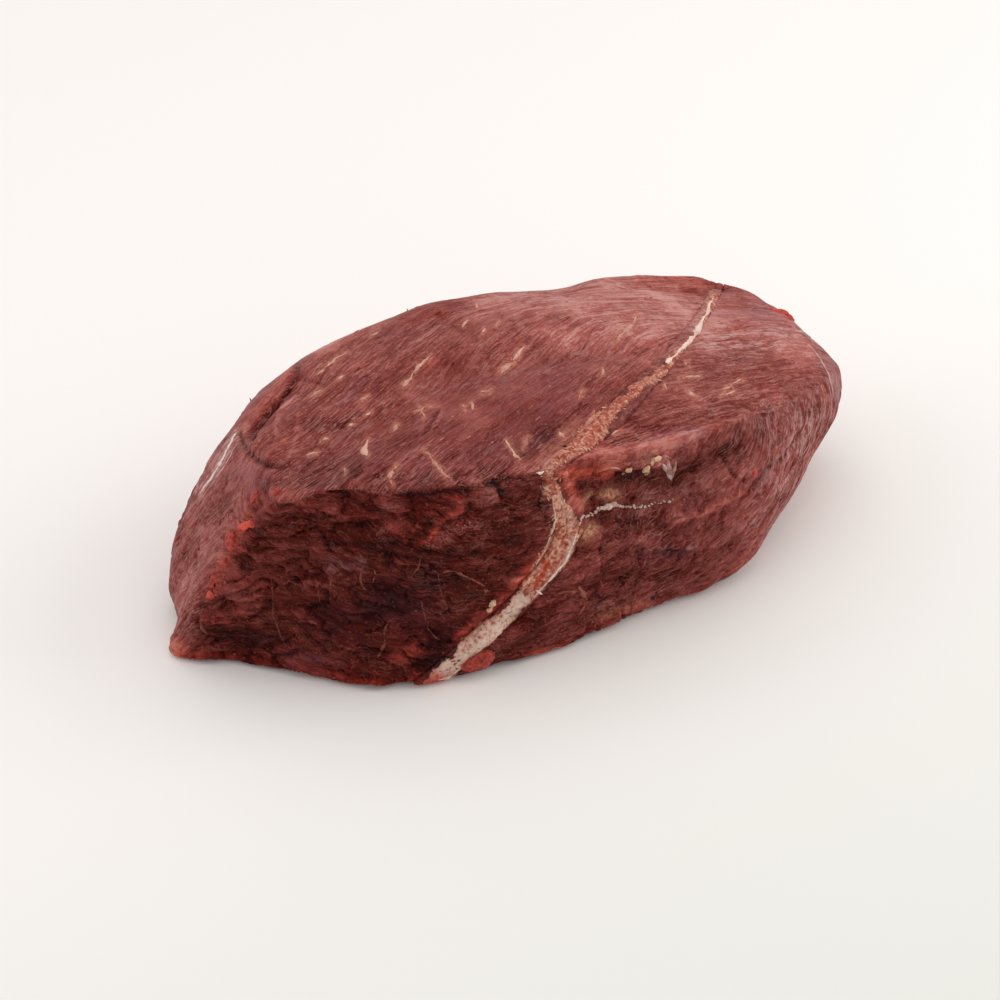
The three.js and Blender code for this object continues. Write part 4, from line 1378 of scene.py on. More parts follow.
        self.paint(LEAN_MARKS + tuple(strand.stain() for strand in TOP_FLECKS), values, lift)
        band = self.on_seam() * self.facing
        values[SINEW] = np.clip(np.maximum(values[SINEW], band), 0.0, 1.0)
        values[SLEEK] = np.clip(values[SLEEK], 0.0, 1.0)
        keep(self.mesh, {tint.value: value for tint, value in values.items()})
        keep(self.mesh, {
            "grain_wall": wall,
            "grain_top": top,
            "fibre": grain.direction(points, self.normals, way, crown, short),
            "on_top": crown,
            "crag": crag,
            "fleck": outer * (1 - crag) * (0.15 + 0.85 * crown + 0.6 * hidden),
        })
        return lift

    def dressed(
        self, points: np.ndarray, finish: "LeanMeat | SeamFinish", name: str, slot: str
    ) -> bpy.types.Object:
        """Places the points, lays on the finish and ties the piece to the roast.

        Args:
            points: Rows of points, in millimetres.
            finish: The piece's finish.
            name: The piece's name.
            slot: Material slot of the record that it takes its finish from; not used.

        Returns:
            The finished piece.
        """
        place_points(self.mesh, points)
        self.mesh.materials.append(finish.material())
        piece = as_object(name, self.mesh)
        deliver(piece, self.node)
        return piece


@dataclass
class Muscle:
    """One lean muscle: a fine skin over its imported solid, with fibres, cracks and folds pressed in.

    Fields: CAD node, whose name its slot has too, size of the fine mesh in millimetres, how many times its
    rims are rounded off, the finish, and whether it is the short muscle, whose fibres sweep round.
    """

    node: str
    voxel: float
    rounds: int
    finish: "LeanMeat"
    short: bool

    SMOOTHING = 4  # times that the facets are smoothed
    FREE = (0.7, 2.6)  # millimetres from the seam over which the lean comes free of it

    def build(self, grain: Grain, view: Viewpoint, contact: BVHTree) -> bpy.types.Object:
        """Makes the muscle.

        Args:
            grain: Fibre coordinates.
            view: The photograph's camera.
            contact: The seam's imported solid, which the muscle lies against.

        Returns:
            The finished piece.
        """
        skin = Skin(self.node, self.voxel, self.SMOOTHING, grain, view)
        outer = skin.open_share(contact, *self.FREE)
        skin.round_off(self.rounds, outer)
        lift = skin.cover(self.finish, outer, self.short) * outer
        points = skin.points + skin.normals * lift[:, None]
        return skin.dressed(points, self.finish, f"{self.node}_meat", self.node)


@dataclass
class SinewSeam:
    """The layer of sinew and fat between the muscles, a little fuller than its solid to meet the lean.

    Fields: finish and CAD node, then in millimetres the size of the fine mesh, how much it is grown, how high
    its granules and clumps are, how far its upper rims lap over the lean, and how far its top sinks at the
    blunt back end.
    """

    finish: "SeamFinish"
    node: str = "sinew_seam"
    voxel: float = 0.61
    growth: float = 0.45
    granules: float = 0.40
    clumps: float = 0.45
    lap: float = 1.0
    sink: float = 1.15
    end: tuple[float, float] = (84.0, 92.0)  # how far along its sheet its top sinks at the back

    SMOOTHING = 3  # times that the facets are smoothed
    FREE = (0.4, 1.2)  # millimetres from the muscles over which the seam comes free of them
    ALONG = (0.8, 0.6, 0.0)  # direction of its sheet, towards the back

    def build(self, grain: Grain, view: Viewpoint, contact: BVHTree) -> bpy.types.Object:
        """Makes the seam.

        Args:
            grain: Fibre coordinates.
            view: The photograph's camera.
            contact: The two muscles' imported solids.

        Returns:
            The finished piece.
        """
        skin = Skin(self.node, self.voxel, self.SMOOTHING, grain, view)
        points, normals = skin.points, skin.normals
        outer = skin.open_share(contact, *self.FREE)
        lift = fractal(points / 1.5, 300, 2) * self.granules + fractal(points / 4.0, 320) * self.clumps
        own = {tint: np.zeros(len(points)) for tint in (WHITE, BLOOD)}
        skin.paint(SEAM_MARKS, own, lift)
        lean_lift = skin.cover(self.finish.lapped, outer, False)
        lean = skin.facing * (1.0 - skin.on_seam())
        lift += (0.6 * lean_lift + 0.2 - lift) * lean
        white, moist = (np.clip(own[tint], 0.0, 1.0) for tint in (WHITE, BLOOD))
        keep(skin.mesh, {"white": white, "moist": moist, "lean": np.clip(lean, 0.0, 1.0)})
        high = smooth_step(30.0, 40.0, points[:, 2])
        crown = smooth_step(0.3, 0.8, normals[:, 2]) * high
        rim = smooth_step(0.05, 0.4, normals[:, 2]) * high
        end = smooth_step(*self.end, points @ np.array(self.ALONG))
        out = self.growth + 0.35 * crown + lift * outer - self.sink * rim * end
        grown = points + normals * out[:, None]
        grown[:, :2] += normals[:, :2] * (self.lap * rim)[:, None]
        return skin.dressed(skin.scalloped(grown), self.finish, "sinew_seam_fat", "sinew")


@dataclass(frozen=True)
class Signal:
    """A number that varies over a surface. Sums and products of signals become nodes of its material."""

    tree: bpy.types.NodeTree
    socket: bpy.types.NodeSocket

    def worked(self, operation: str, *terms: object) -> "Signal":
        """Works out a new signal from signals and numbers, by one of Blender's operations."""
        node = put(self.tree, "ShaderNodeMath", dict(enumerate(terms)), operation=operation)
        return Signal(self.tree, node.outputs[0])

    def __add__(self, other: "Signal | float") -> "Signal":
        """Gives a sum."""
        return self.worked("ADD", self, other)

    def __sub__(self, other: "Signal | float") -> "Signal":
        """Gives a difference."""
        return self.worked("SUBTRACT", self, other)

    def __rsub__(self, other: float) -> "Signal":
        """Gives a difference from a number."""
        return self.worked("SUBTRACT", other, self)

    def __mul__(self, other: "Signal | float") -> "Signal":
        """Gives a product."""
        return self.worked("MULTIPLY", self, other)

    def ridges(self, low: float) -> "Signal":
        """Gives thin lines where noise passes through its middle value."""
        return (1.0 - self.worked("ABSOLUTE", self * 2.0 - 1.0)).eased(low, 1.0)

    def eased(self, low: float, high: float) -> "Signal":
        """Eases from 0 at low to 1 at high.

        Args:
            low: Value that gives 0.
            high: Value that gives 1.

        Returns:
            The eased signal.
        """
        feeds = {"Value": self, "From Min": low, "From Max": high}
        node = put(self.tree, "ShaderNodeMapRange", feeds, interpolation_type="SMOOTHSTEP")
        return Signal(self.tree, node.outputs[0])


class Shading:
    """A material in the making, with what the roast's materials share."""

    def __init__(self, name: str) -> None:
        """Starts an empty material.

        Args:
            name: The material's name.
        """
        self.material = bpy.data.materials.new(name)
        self.material.use_nodes = True
        self.tree = self.material.node_tree
        self.tree.nodes.clear()
        self.place = put(self.tree, "ShaderNodeTexCoord").outputs["Object"]

    def kept(self, *names: str) -> list[Signal]:
        """Reads numbers kept on the mesh."""
        nodes = (put(self.tree, "ShaderNodeAttribute", attribute_name=name) for name in names)
        return [Signal(self.tree, node.outputs["Fac"]) for node in nodes]

    def mottle(self, size: float, detail: float = 2.0, wander: float = 0.0) -> Signal:
        """Gives even noise of a size in millimetres."""
        feeds = {"Vector": self.place, "Scale": 1 / (size * MM), "Detail": detail, "Distortion": wander}
        return Signal(self.tree, put(self.tree, "ShaderNodeTexNoise", feeds).outputs["Fac"])

    def toned(self, source: Signal, *stops: tuple[float, str]) -> bpy.types.NodeSocket:
        """Turns a number into a colour.

        Args:
            source: The number.
            *stops: Positions and hex colours.

        Returns:
            The colour.
        """
        node = put(self.tree, "ShaderNodeValToRGB", {"Fac": source})
        while len(node.color_ramp.elements) < len(stops):
            node.color_ramp.elements.new(0.5)
        for element, (position, colour) in zip(node.color_ramp.elements, stops):
            element.position = position
            element.color = linear(colour)
        return node.outputs["Color"]

    def layered(self, colour: bpy.types.NodeSocket, *layers: tuple[Signal, object]) -> bpy.types.NodeSocket:
        """Lays colours over one another.

        Args:
            colour: The lowest colour.
            *layers: For each layer, its strength and its colour, a hex value or an output.

        Returns:
            The colour that they give.
        """
        for amount, cover in layers:
            feeds = {0: amount, 6: colour, 7: linear(cover) if isinstance(cover, str) else cover}
            colour = put(self.tree, "ShaderNodeMix", feeds, data_type="RGBA").outputs[2]
        return colour

    def finish(
        self, colour: object, roughness: object, height: object, depth: float, gloss: float, softness: float
    ) -> bpy.types.Material:
        """Ends the material in one moist surface.

        Args:
            colour: Colour of the meat.
            roughness: How dull its moisture is.
            height: Fine relief from 0 to 1.
            depth: Millimetres that the relief stands for.
            gloss: Strength of the moist shine.
            softness: Millimetres that light wanders under the surface.

        Returns:
            The material.
        """
        feeds = {"Strength": 0.9, "Distance": depth * MM, "Height": height}
        feeds = {
            "Base Color": colour,
            "Roughness": roughness,
            "IOR": 1.38,
            "Specular IOR Level": gloss,
            "Subsurface Weight": 0.10,
            "Subsurface Radius": (1.0, 0.35, 0.25),
            "Subsurface Scale": softness * MM,
            "Normal": put(self.tree, "ShaderNodeBump", feeds).outputs[0],
        }
        surface = put(self.tree, "ShaderNodeBsdfPrincipled", feeds).outputs[0]
        put(self.tree, "ShaderNodeOutputMaterial", {"Surface": surface})
        return self.material


@dataclass(frozen=True)
class LeanMeat:
    """Raw lean beef, freshly cut: long moist fibres, dark where cut across and paler under thin membrane.

    Fields: name, tone and membrane of the top, colours from the darkest crack to the palest fibre, those of
    the thin layers over it, the thread's colour also serving for painted glints, sizes in millimetres, for
    fibres their length and width, the strength of the moist shine, and the millimetres that light wanders
    under the surface.
    """

    name: str
    top_tone: float
    top_haze: float
    deep: str = "#2a0604"
    dark: str = "#52160f"
    lean: str = "#803933"
    pale: str = "#a35851"
    pink: str = "#ca8c82"
    wet_deep: str = "#3c0805"
    wet_flesh: str = "#7e2219"
    wet_bright: str = "#ad4230"
    wet_light: str = "#d2745f"
    membrane: str = "#b98e89"
    blue_membrane: str = "#7a4d60"
    tan_fat: str = "#8f5441"
    soft_fat: str = "#c28d72"
    sinew_pink: str = "#994e42"
    sinew_cream: str = "#c9937c"
    thread: str = "#c59087"
    fibre: tuple[float, float] = (4.2, 0.54)
    strand: tuple[float, float] = (17.0, 1.15)
    bundle: tuple[float, float] = (24.0, 3.1)
    layer: tuple[float, float] = (8.0, 2.1)
    fine_thread: tuple[float, float] = (17.0, 1.265)
    crease: tuple[float, float] = (13.6, 2.3)
    sway: float = 8.0
    sway_reach: float = 2.0
    blotch: float = 19.0
    patch: float = 8.0
    grit: float = 0.74
    coarse_grit: float = 1.7
    bump_depth: float = 0.70
    gloss: float = 0.06
    softness: float = 1.2

    def material(self) -> bpy.types.Material:
        """Makes the material."""
        shading = Shading(self.name)
        return shading.finish(*self.surface(shading), self.bump_depth, self.gloss, self.softness)

    def surface(self, shading: Shading) -> tuple[bpy.types.NodeSocket, Signal, Signal]:
        """Builds the lean's nodes.

        Args:
            shading: Material that they are built in.

        Returns:
            Colour, roughness and fine relief.
        """
        tree = shading.tree
        on_top, crag, sleek, relief, tone = shading.kept("on_top", "crag", "sleek", "relief", "tone")
        haze, violet, blood, fat, sinew = shading.kept("haze", "violet", "blood", "fat", "sinew")
        # The fibres sway a little, most where the cut is craggy.
        feeds = {"Vector": shading.place, "Scale": 1 / (self.sway * MM), "Detail": 2.0}
        feeds = {0: put(tree, "ShaderNodeTexNoise", feeds).outputs["Color"], 1: (0.5, 0.5, 0.5)}
        sway = put(tree, "ShaderNodeVectorMath", feeds, operation="SUBTRACT").outputs[0]
        feeds = {0: sway, "Scale": crag * (self.sway_reach * 1.8) + self.sway_reach * 0.9}
        sway = put(tree, "ShaderNodeVectorMath", feeds, operation="SCALE").outputs[0]
        coordinates = []
        for name in ("grain_wall", "grain_top"):
            feeds = {0: put(tree, "ShaderNodeAttribute", attribute_name=name).outputs["Vector"], 1: sway}
            coordinates.append(put(tree, "ShaderNodeVectorMath", feeds, operation="ADD").outputs[0])

        def streaks(size: tuple[float, float], detail: float, wander: float, shift: float) -> Signal:
            """Draws noise out along the fibres.

            Args:
                size: Its length and width, in millimetres.
                detail: Number of finer layers.
                wander: How far it strays.
                shift: Picks the pattern.

            Returns:
                The noise, on the side and on the top.
            """
            found = []
            for source in coordinates:
                feeds = {0: source, 1: (1 / size[0], 1 / size[1], 1.0), 2: (shift, shift, shift)}
                drawn = put(tree, "ShaderNodeVectorMath", feeds, operation="MULTIPLY_ADD").outputs[0]
                feeds = {"Vector": drawn, "Scale": 1.0, "Detail": detail, "Distortion": wander}
                found.append(put(tree, "ShaderNodeTexNoise", feeds).outputs["Fac"])
            feeds = {0: on_top, 2: found[0], 3: found[1]}
            return Signal(tree, put(tree, "ShaderNodeMix", feeds, data_type="FLOAT").outputs[0])

        fine = streaks(self.fibre, 3.0, 0.25, 0.0)
        strands = streaks(self.strand, 4.0, 0.3, 13.0)
        bundles = streaks(self.bundle, 3.0, 0.4, 7.0)
        layers = streaks(self.layer, 2.0, 0.5, 31.0).ridges(0.45)
        threads = streaks(self.fine_thread, 2.0, 0.4, 19.0).ridges(0.91)
        creases = streaks(self.crease, 2.0, 0.4, 43.0).ridges(0.90)
        blotches, patches = shading.mottle(self.blotch, 3.0), shading.mottle(self.patch)
        grit, coarse = shading.mottle(self.grit), shading.mottle(self.coarse_grit, 3.0, 0.6)

        # How light the lean is, from fine fibres up to broad blotches, with painted shade in its creases and
        # hollows; smooth skin hides the fibres.
        plain = 1.0 - sleek * 0.72
        lively = (patches.eased(0.38, 0.62) * 0.8 + 0.35) * plain
        speckle = (fine - 0.5) * 0.50 * lively + (grit - 0.5) * 0.34 + (coarse - 0.5) * 0.20
        tone = tone + speckle * (1.0 - crag * 0.45) * plain
        tone = tone + (strands - 0.5) * plain * 0.32 + (bundles - 0.5) * plain * 0.44
        # painted shade: the cracks between the cut face's layers are darkened
        tone = tone + (blotches - 0.5) * 0.46 + (patches - 0.5) * 0.26 + (0.5 - layers) * crag * 0.22
        # painted shade and light: the creases are darkened, and the relief darkens its hollows and lightens
        # its swellings
        tone = tone - creases * patches.eased(0.62, 0.44) * 0.16 + relief * 0.10
        colour = shading.toned(
            tone, (0.0, self.deep), (0.25, self.dark), (0.55, self.lean), (0.80, self.pale), (1.0, self.pink)
        )
        # Thin layers over it, each where its own pattern lets it show, with painted glints of moisture among
        # them.
        here = (blotches.eased(0.42, 0.58) * 0.26 + 0.14) * (1.0 - crag * 0.85) * plain
        drawn = strands * 0.35 + bundles * 0.15 + fine * 0.30 + coarse * 0.20
        stops = (0.1, self.wet_deep), (0.40, self.wet_flesh), (0.68, self.wet_bright), (0.95, self.wet_light)
        wet = shading.toned(tone + 0.10, *stops)
        soft = shading.toned(coarse, (0.35, self.tan_fat), (0.62, self.soft_fat))
        fibrous = shading.toned(grit * 0.5 + coarse * 0.5, (0.40, self.sinew_pink), (0.60, self.sinew_cream))
        colour = shading.layered(
            colour,
            (threads * here, self.thread),
            (haze * drawn.eased(0.46, 0.60) * 0.80, self.membrane),
            # painted highlights: small pale glints of moisture on the grit, in the threads' colour, fewer on
            # the cut face
            (grit.eased(0.62, 0.76) * (0.42 - crag * 0.30), self.thread),
            (violet * bundles.eased(0.30, 0.75) * 0.65, self.blue_membrane),
            (blood * (fine * 0.5 + strands).eased(0.50, 0.95), wet),
            (fat * grit.eased(0.20, 0.50), soft),
            (sinew, fibrous),
        )
        height = bundles * 0.25 + fine * lively * 0.22 + strands * plain * 0.25 - creases * 0.12
        height = height + grit * 0.13 + coarse * 0.12 - layers * crag * 0.45
        return colour, grit * 0.30 - blood * 0.12 + 0.26, height


@dataclass(frozen=True)
class SeamFinish:
    """Sinew and fat cut across: cream and pink, granular, with moist threads along it.

    Fields: name, the lean that laps over it, colours from the moist red between the granules to clean
    gristle, sizes in millimetres, how dull its moisture is, the strength of the moist shine, and the
    millimetres that light wanders under the surface.
    """

    name: str
    lapped: LeanMeat
    red: str = "#86361f"
    pink: str = "#a85b4a"
    cream: str = "#d2a088"
    white: str = "#e4d1bf"
    wet_flesh: str = "#b23a24"
    grain_size: float = 1.0
    clump_size: float = 2.4
    roughness: float = 0.45
    bump_depth: float = 0.85
    gloss: float = 0.20
    softness: float = 1.5

    def material(self) -> bpy.types.Material:
        """Makes the material.

        Returns:
            The material.
        """
        shading = Shading(self.name)
        white, moist, lean = shading.kept("white", "moist", "lean")
        grains = shading.mottle(self.grain_size, 3.0, 0.5)
        mixed = shading.mottle(self.clump_size, 3.0, 1.4) * 0.6 + grains * 0.5
        lean_colour, _, fibres = self.lapped.surface(shading)
        colour = shading.layered(
            shading.toned(mixed, (0.42, self.red), (0.53, self.pink), (0.69, self.cream)),
            (white * mixed.eased(0.36, 0.52), self.white),
            (moist, self.wet_flesh),
            (lean, lean_colour),
        )
        feeds = {0: lean, 2: mixed, 3: fibres}
        height = put(shading.tree, "ShaderNodeMix", feeds, data_type="FLOAT").outputs[0]
        return shading.finish(colour, self.roughness, height, self.bump_depth, self.gloss, self.softness)


@dataclass(frozen=True)
class BitFinish:
    """Small threads and bits on the meat, from pink flesh to clean cream fat.

    Fields: name, the colours at both ends of the tint kept on the mesh, how mottled they are, the mottle's
    size in millimetres, the strength of the moist shine, how dull the moisture is, and in millimetres the
    depth of the fine relief and how far light wanders under the surface.
    """

    name: str
    low: str
    high: str
    mottle: float = 0.35
    size: float = 1.1
    gloss: float = 0.22
    roughness: float = 0.45
    bump_depth: float = 0.35
    softness: float = 1.0

    def material(self) -> bpy.types.Material:
        """Makes the material.

        Returns:
            The material.
        """
        shading = Shading(self.name)
        grains = shading.mottle(self.size, 3.0, 0.4)
        tint = (grains - 0.5) * (self.mottle * 2.0) + shading.kept("tint")[0]
        colour = shading.toned(tint, (0.0, self.low), (1.0, self.high))
        return shading.finish(colour, self.roughness, grains, self.bump_depth, self.gloss, self.softness)


class Surface:
    """The dressed meat's surface, found through the photograph's pixels or from any side."""

    JUMP = 6.0  # millimetres between neighbouring hits that mean the route has crossed a hidden edge
    SEARCH = (-0.15, 0.145, 60)  # metres past the aim that a sight line is searched over, and number of tries

    def __init__(self, pieces: list[bpy.types.Object], view: Viewpoint) -> None:
        """Makes the search tree of the dressed muscles and seam."""
        self.tree = tree_of(*(piece.data for piece in pieces))
        self.view = view

    def nearest(self, place: Vector) -> tuple[np.ndarray, np.ndarray]:
        """Finds the point nearest to a place in metres, in millimetres, and its outward direction."""
        point, facing, _, _ = self.tree.find_nearest(place)
        return np.array(point) / MM, np.array(facing)

    def seen(self, pixel: Pixel) -> tuple[np.ndarray, np.ndarray] | None:
        """Finds the point, in millimetres, and its outward direction that show at a pixel."""
        point, facing, _, _ = self.tree.ray_cast(Vector(self.view.place()), self.view.ray(pixel))
        return None if point is None else (np.array(point) / MM, np.array(facing))

    def beside(self, pixel: Pixel) -> tuple[np.ndarray, np.ndarray]:
        """Finds the surface at a pixel, or the part closest to its sight line where it just misses.

        Args:
            pixel: Place in the photograph.

        Returns:
            The point, in millimetres, and its outward direction.
        """
        start, way = Vector(self.view.place()), self.view.ray(pixel)
        tries = (start + way * (self.view.distance + past) for past in np.linspace(*self.SEARCH))
        closest = min(tries, key=lambda place: self.tree.find_nearest(place)[3])
        return self.seen(pixel) or self.nearest(closest)

    def follow(
        self, route: tuple[Pixel, ...], step: float, sway: float, seed: int
    ) -> tuple[np.ndarray, np.ndarray]:
        """Walks a route over the surface.

        Args:
            route: Corners, in pixels.
            step: Pixels between points.
            sway: How far the walk strays sideways, in pixels.
            seed: Picks how it strays.

        Returns:
            Rows of points in millimetres and their outward directions.
        """
        corners = np.array(route, dtype=float)
        lengths = np.append(0.0, np.cumsum(np.hypot(*np.diff(corners, axis=0).T)))
        count = max(int(lengths[-1] / step) + 1, 4)
        way = np.linspace(0.0, lengths[-1], count)
        walk = np.column_stack([np.interp(way, lengths, corners[:, i]) for i in (0, 1)])
        for _ in range(2):
            walk[1:-1] = (walk[:-2] + 2 * walk[1:-1] + walk[2:]) / 4
        cells = np.column_stack([way / 6.0, np.full(count, 0.37), np.full(count, 0.61)])
        walk += np.column_stack([fractal(cells, seed, 2), fractal(cells, seed + 5, 2)]) * sway
        hits: list[tuple[np.ndarray, np.ndarray]] = []
        for pixel in walk:
            hit = self.seen(tuple(pixel))
            if hit and not (hits and np.linalg.norm(hit[0] - hits[-1][0]) > self.JUMP):
                hits.append(hit)
        return np.array([hit[0] for hit in hits]), np.array([hit[1] for hit in hits])


class Recipe:
    """A Geometry Nodes tree with named inputs, run once on a worker mesh."""

    FINE = 10 / 9  # millimetres, the size of the unevenness of threads and flecks

    def __init__(
        self, name: str, settings: dict[str, tuple[str, object]], roughness: float, grain: float, seed: int,
        finish: bpy.types.Material,
    ) -> None:
        """Starts the tree.

        Args:
            name: Name of the tree.
            settings: For each input of its own, the kind of socket and the value.
            roughness: How uneven what it makes is, in millimetres.
            grain: Size of the unevenness, in millimetres.
            seed: Picks the unevenness.
            finish: Material of what it makes.
        """
        self.tree = bpy.data.node_groups.new(name, "GeometryNodeTree")
        self.settings = {
            **settings,
            "Roughness": ("Float", roughness * MM),
            "Grain": ("Float", 1 / (grain * MM)),
            "Seed": ("Float", float(seed)),
            "Finish": ("Material", finish),
        }
        face = self.tree.interface
        face.new_socket(name="Geometry", in_out="INPUT", socket_type="NodeSocketGeometry")
        self.sockets = {
            label: face.new_socket(name=label, in_out="INPUT", socket_type=f"NodeSocket{kind}").identifier
            for label, (kind, _) in self.settings.items()
        }
        face.new_socket(name="Geometry", in_out="OUTPUT", socket_type="NodeSocketGeometry")
        self.inputs = put(self.tree, "NodeGroupInput").outputs

    def kept(self, name: str, kind: str = "FLOAT_VECTOR") -> bpy.types.NodeSocket:
        """Reads what the mesh keeps under a name."""
        return put(self.tree, "GeometryNodeInputNamedAttribute", {"Name": name}, data_type=kind).outputs[0]

    def end(self, shape: bpy.types.NodeSocket) -> None:
        """Shakes a shape's points by the Roughness and Grain inputs and ends the tree.

        Args:
            shape: Output that the shape comes from.
        """
        tree, inputs = self.tree, self.inputs
        solid = put(tree, "GeometryNodeRealizeInstances", {"Geometry": shape}).outputs[0]
        place = put(tree, "GeometryNodeInputPosition").outputs[0]
        feeds = {"Vector": place, "W": inputs["Seed"], "Scale": inputs["Grain"], "Detail": 2.0}
        noise = put(tree, "ShaderNodeTexNoise", feeds, noise_dimensions="4D").outputs["Color"]
        feeds = {0: noise, 1: (0.5, 0.5, 0.5)}
        centred = put(tree, "ShaderNodeVectorMath", feeds, operation="SUBTRACT").outputs[0]
        feeds = {0: centred, "Scale": inputs["Roughness"]}
        offset = put(tree, "ShaderNodeVectorMath", feeds, operation="SCALE").outputs[0]
        shaken = put(tree, "GeometryNodeSetPosition", {"Geometry": solid, "Offset": offset}).outputs[0]
        solid = put(tree, "GeometryNodeRealizeInstances", {"Geometry": shaken}).outputs[0]
        dressed = put(tree, "GeometryNodeSetMaterial", {"Geometry": solid, "Material": inputs["Finish"]})
        put(tree, "NodeGroupOutput", {"Geometry": dressed.outputs[0]})

    def end_in_bits(self, points: object, aim: object, up: object, size: object) -> None:
        """Sets a rounded bit on every point and ends the tree.

        Args:
            points: The points.
            aim: Direction of a bit's length.
            up: Direction to which its height turns as near as it can.
            size: Its half length, half width and half height.
        """
        tree = self.tree
        feeds = {"Radius": 1.0, "Subdivisions": self.inputs["Detail"]}
        ball = put(tree, "GeometryNodeMeshIcoSphere", feeds).outputs[0]
        turn = put(tree, "FunctionNodeAlignRotationToVector", {"Vector": aim}, axis="X").outputs[0]
        feeds = {"Rotation": turn, "Vector": up}
        turn = put(tree, "FunctionNodeAlignRotationToVector", feeds, axis="Z", pivot_axis="X").outputs[0]
        feeds = {"Points": points, "Instance": ball, "Rotation": turn, "Scale": size}
        self.end(put(tree, "GeometryNodeInstanceOnPoints", feeds).outputs[0])

    def run(self, mesh: bpy.types.Mesh, name: str) -> None:
        """Runs the tree on a mesh and ties the piece that comes out to the roast.

        Args:
            mesh: What the tree starts from.
            name: The piece's name.
        """
        worker = as_object("worker", mesh)
        modifier = worker.modifiers.new(self.tree.name, "NODES")
        modifier.node_group = self.tree
        for label, (_, value) in self.settings.items():
            modifier[self.sockets[label]] = value
        deliver(as_object(name, settled(worker)))


@dataclass
class Trail:
    """A thread's way over the surface.

    Fields: points and outward directions, width in millimetres, tint, stand and how unevenly wide it is.
    """

    points: np.ndarray
    facing: np.ndarray
    width: float
    tint: float
    stand: float
    uneven: float


@dataclass(frozen=True)
class Threads:
    """Thin solid threads that follow photographed strands over the surface, and more on the hidden sides.

    Fields: the piece's name, strands and finish, the share of their width that the threads get, how far they
    stray sideways in pixels, how unevenly wide they are, how many lie on the hidden sides, the corners of a
    thread's section, how rough threads are in millimetres, and the spacing of their points.
    """

    name: str
    strands: tuple[Strand, ...]
    finish: BitFinish
    slimmer: float = 1.0
    sway: float = 1.0
    uneven: float = 0.6
    hidden: int = 0
    sides: int = 8
    roughness: float = 0.55
    step: float = 1.3  # pixels between the points of a thread that shows
    hidden_step: float = 0.6  # millimetres between the points of a hidden thread

    SEED = 51  # picks the roughness
    SWAY_SEED = 500  # picks the first strand's swaying
    ENDS = (0.03, 0.97)  # where along its length a thread starts and ends, short of its bare tips
    SWELLING = 3.5  # points between two swellings
    SWELLING_SEED = 77
    TAPER = 0.6  # the lower, the blunter a thread ends
    THINNEST = 0.2  # least share of its width
    MOTTLE = 0.15  # how far its tint strays
    MOTTLE_SEED = 78
    HIDDEN_SEED = 91  # picks the hidden threads
    HIDDEN_STARTS = (8.0, 50.0)  # millimetres above the board between which they start
    HIDDEN_LEVELS = (7.0, 56.0)  # millimetres above the board between which they run
    HIDDEN_POINTS = (10, 34)  # the fewest points of one, and a number below which the most lie
    HIDDEN_LEAST = 5  # points up to which one is left out
    HIDDEN_BEND = 0.03  # radians that one swings round at each point
    HIDDEN_TURN = 0.25  # radians that one starts out of line with the fibres
    HIDDEN_WIDTHS = (0.35, 0.8)  # millimetres
    HIDDEN_TINTS = (0.4, 1.0)
    HIDDEN_STAND = -0.5  # share of its radius that its middle stands out, below 0 for one in the meat
    HIDDEN_UNEVEN = 0.9

    def build(self, surface: Surface, grain: Grain) -> None:
        """Makes the piece.

        Args:
            surface: The dressed meat.
            grain: Fibre coordinates.
        """
        settings = {"Sides": ("Int", self.sides)}
        finish = self.finish.material()
        recipe = Recipe("threads along routes", settings, self.roughness, Recipe.FINE, self.SEED, finish)
        tree, inputs = recipe.tree, recipe.inputs
        feeds = {"Resolution": inputs["Sides"], "Radius": 1.0}
        feeds = {
            "Curve": put(tree, "GeometryNodeMeshToCurve", {"Mesh": inputs["Geometry"]}).outputs[0],
            "Profile Curve": put(tree, "GeometryNodeCurvePrimitiveCircle", feeds).outputs[0],
            "Scale": recipe.kept("thickness", "FLOAT"),
            "Fill Caps": True,
        }
        recipe.end(put(tree, "GeometryNodeCurveToMesh", feeds).outputs[0])
        recipe.run(self.routes(self.shown(surface) + self.unseen(surface, grain)), self.name)

    def shown(self, surface: Surface) -> list[Trail]:
        """Lays the photographed strands over the surface.

        Args:
            surface: The dressed meat.

        Returns:
            A trail for each strand that lies on it.
        """
        trails = []
        for number, strand in enumerate(self.strands):
            seed = self.SWAY_SEED + number
            points, facing = surface.follow(strand.route, self.step, self.sway, seed)
            if len(points) < 3:
                log.info("%s %s: not on the surface", strand.name, strand.route[0])
            else:
                width = strand.width * self.slimmer
                trails.append(Trail(points, facing, width, strand.tint, strand.stand, self.uneven))
        return trails

    def unseen(self, surface: Surface, grain: Grain) -> list[Trail]:
        """Draws threads on the sides that the photograph doesn't show, along their fibres.

        Args:
            surface: The dressed meat.
            grain: Fibre coordinates.

        Returns:
            Their trails.
        """
        chance = np.random.default_rng(self.HIDDEN_SEED)
        names = [stretch.name for stretch in STRETCHES]
        whole = grain.girth.lengths[-1]
        first, last = grain.stations[names.index("left end")], whole + grain.stations[1]
        lowest, highest = self.HIDDEN_LEVELS
        trails = []
        for _ in range(self.hidden):
            way, height = chance.uniform(first, last), chance.uniform(*self.HIDDEN_STARTS)
            bend, turn = chance.normal(0.0, self.HIDDEN_BEND), chance.normal(0.0, self.HIDDEN_TURN)
            hits = []
            for _ in range(int(chance.integers(*self.HIDDEN_POINTS))):
                slant = math.radians(grain.read("slant", way % whole)) + turn
                way -= self.hidden_step * math.cos(slant)
                height += self.hidden_step * math.sin(slant)
                turn += bend
                if not lowest < height < highest:
                    break
                hits.append(surface.nearest(grain.girth.place(way, height)))
            width, tint = chance.uniform(*self.HIDDEN_WIDTHS), chance.uniform(*self.HIDDEN_TINTS)
            if len(hits) > self.HIDDEN_LEAST:
                points, facing = (np.array(column) for column in zip(*hits))
                trail = Trail(points, facing, width, tint, self.HIDDEN_STAND, self.HIDDEN_UNEVEN)
                trails.append(trail)
        return trails

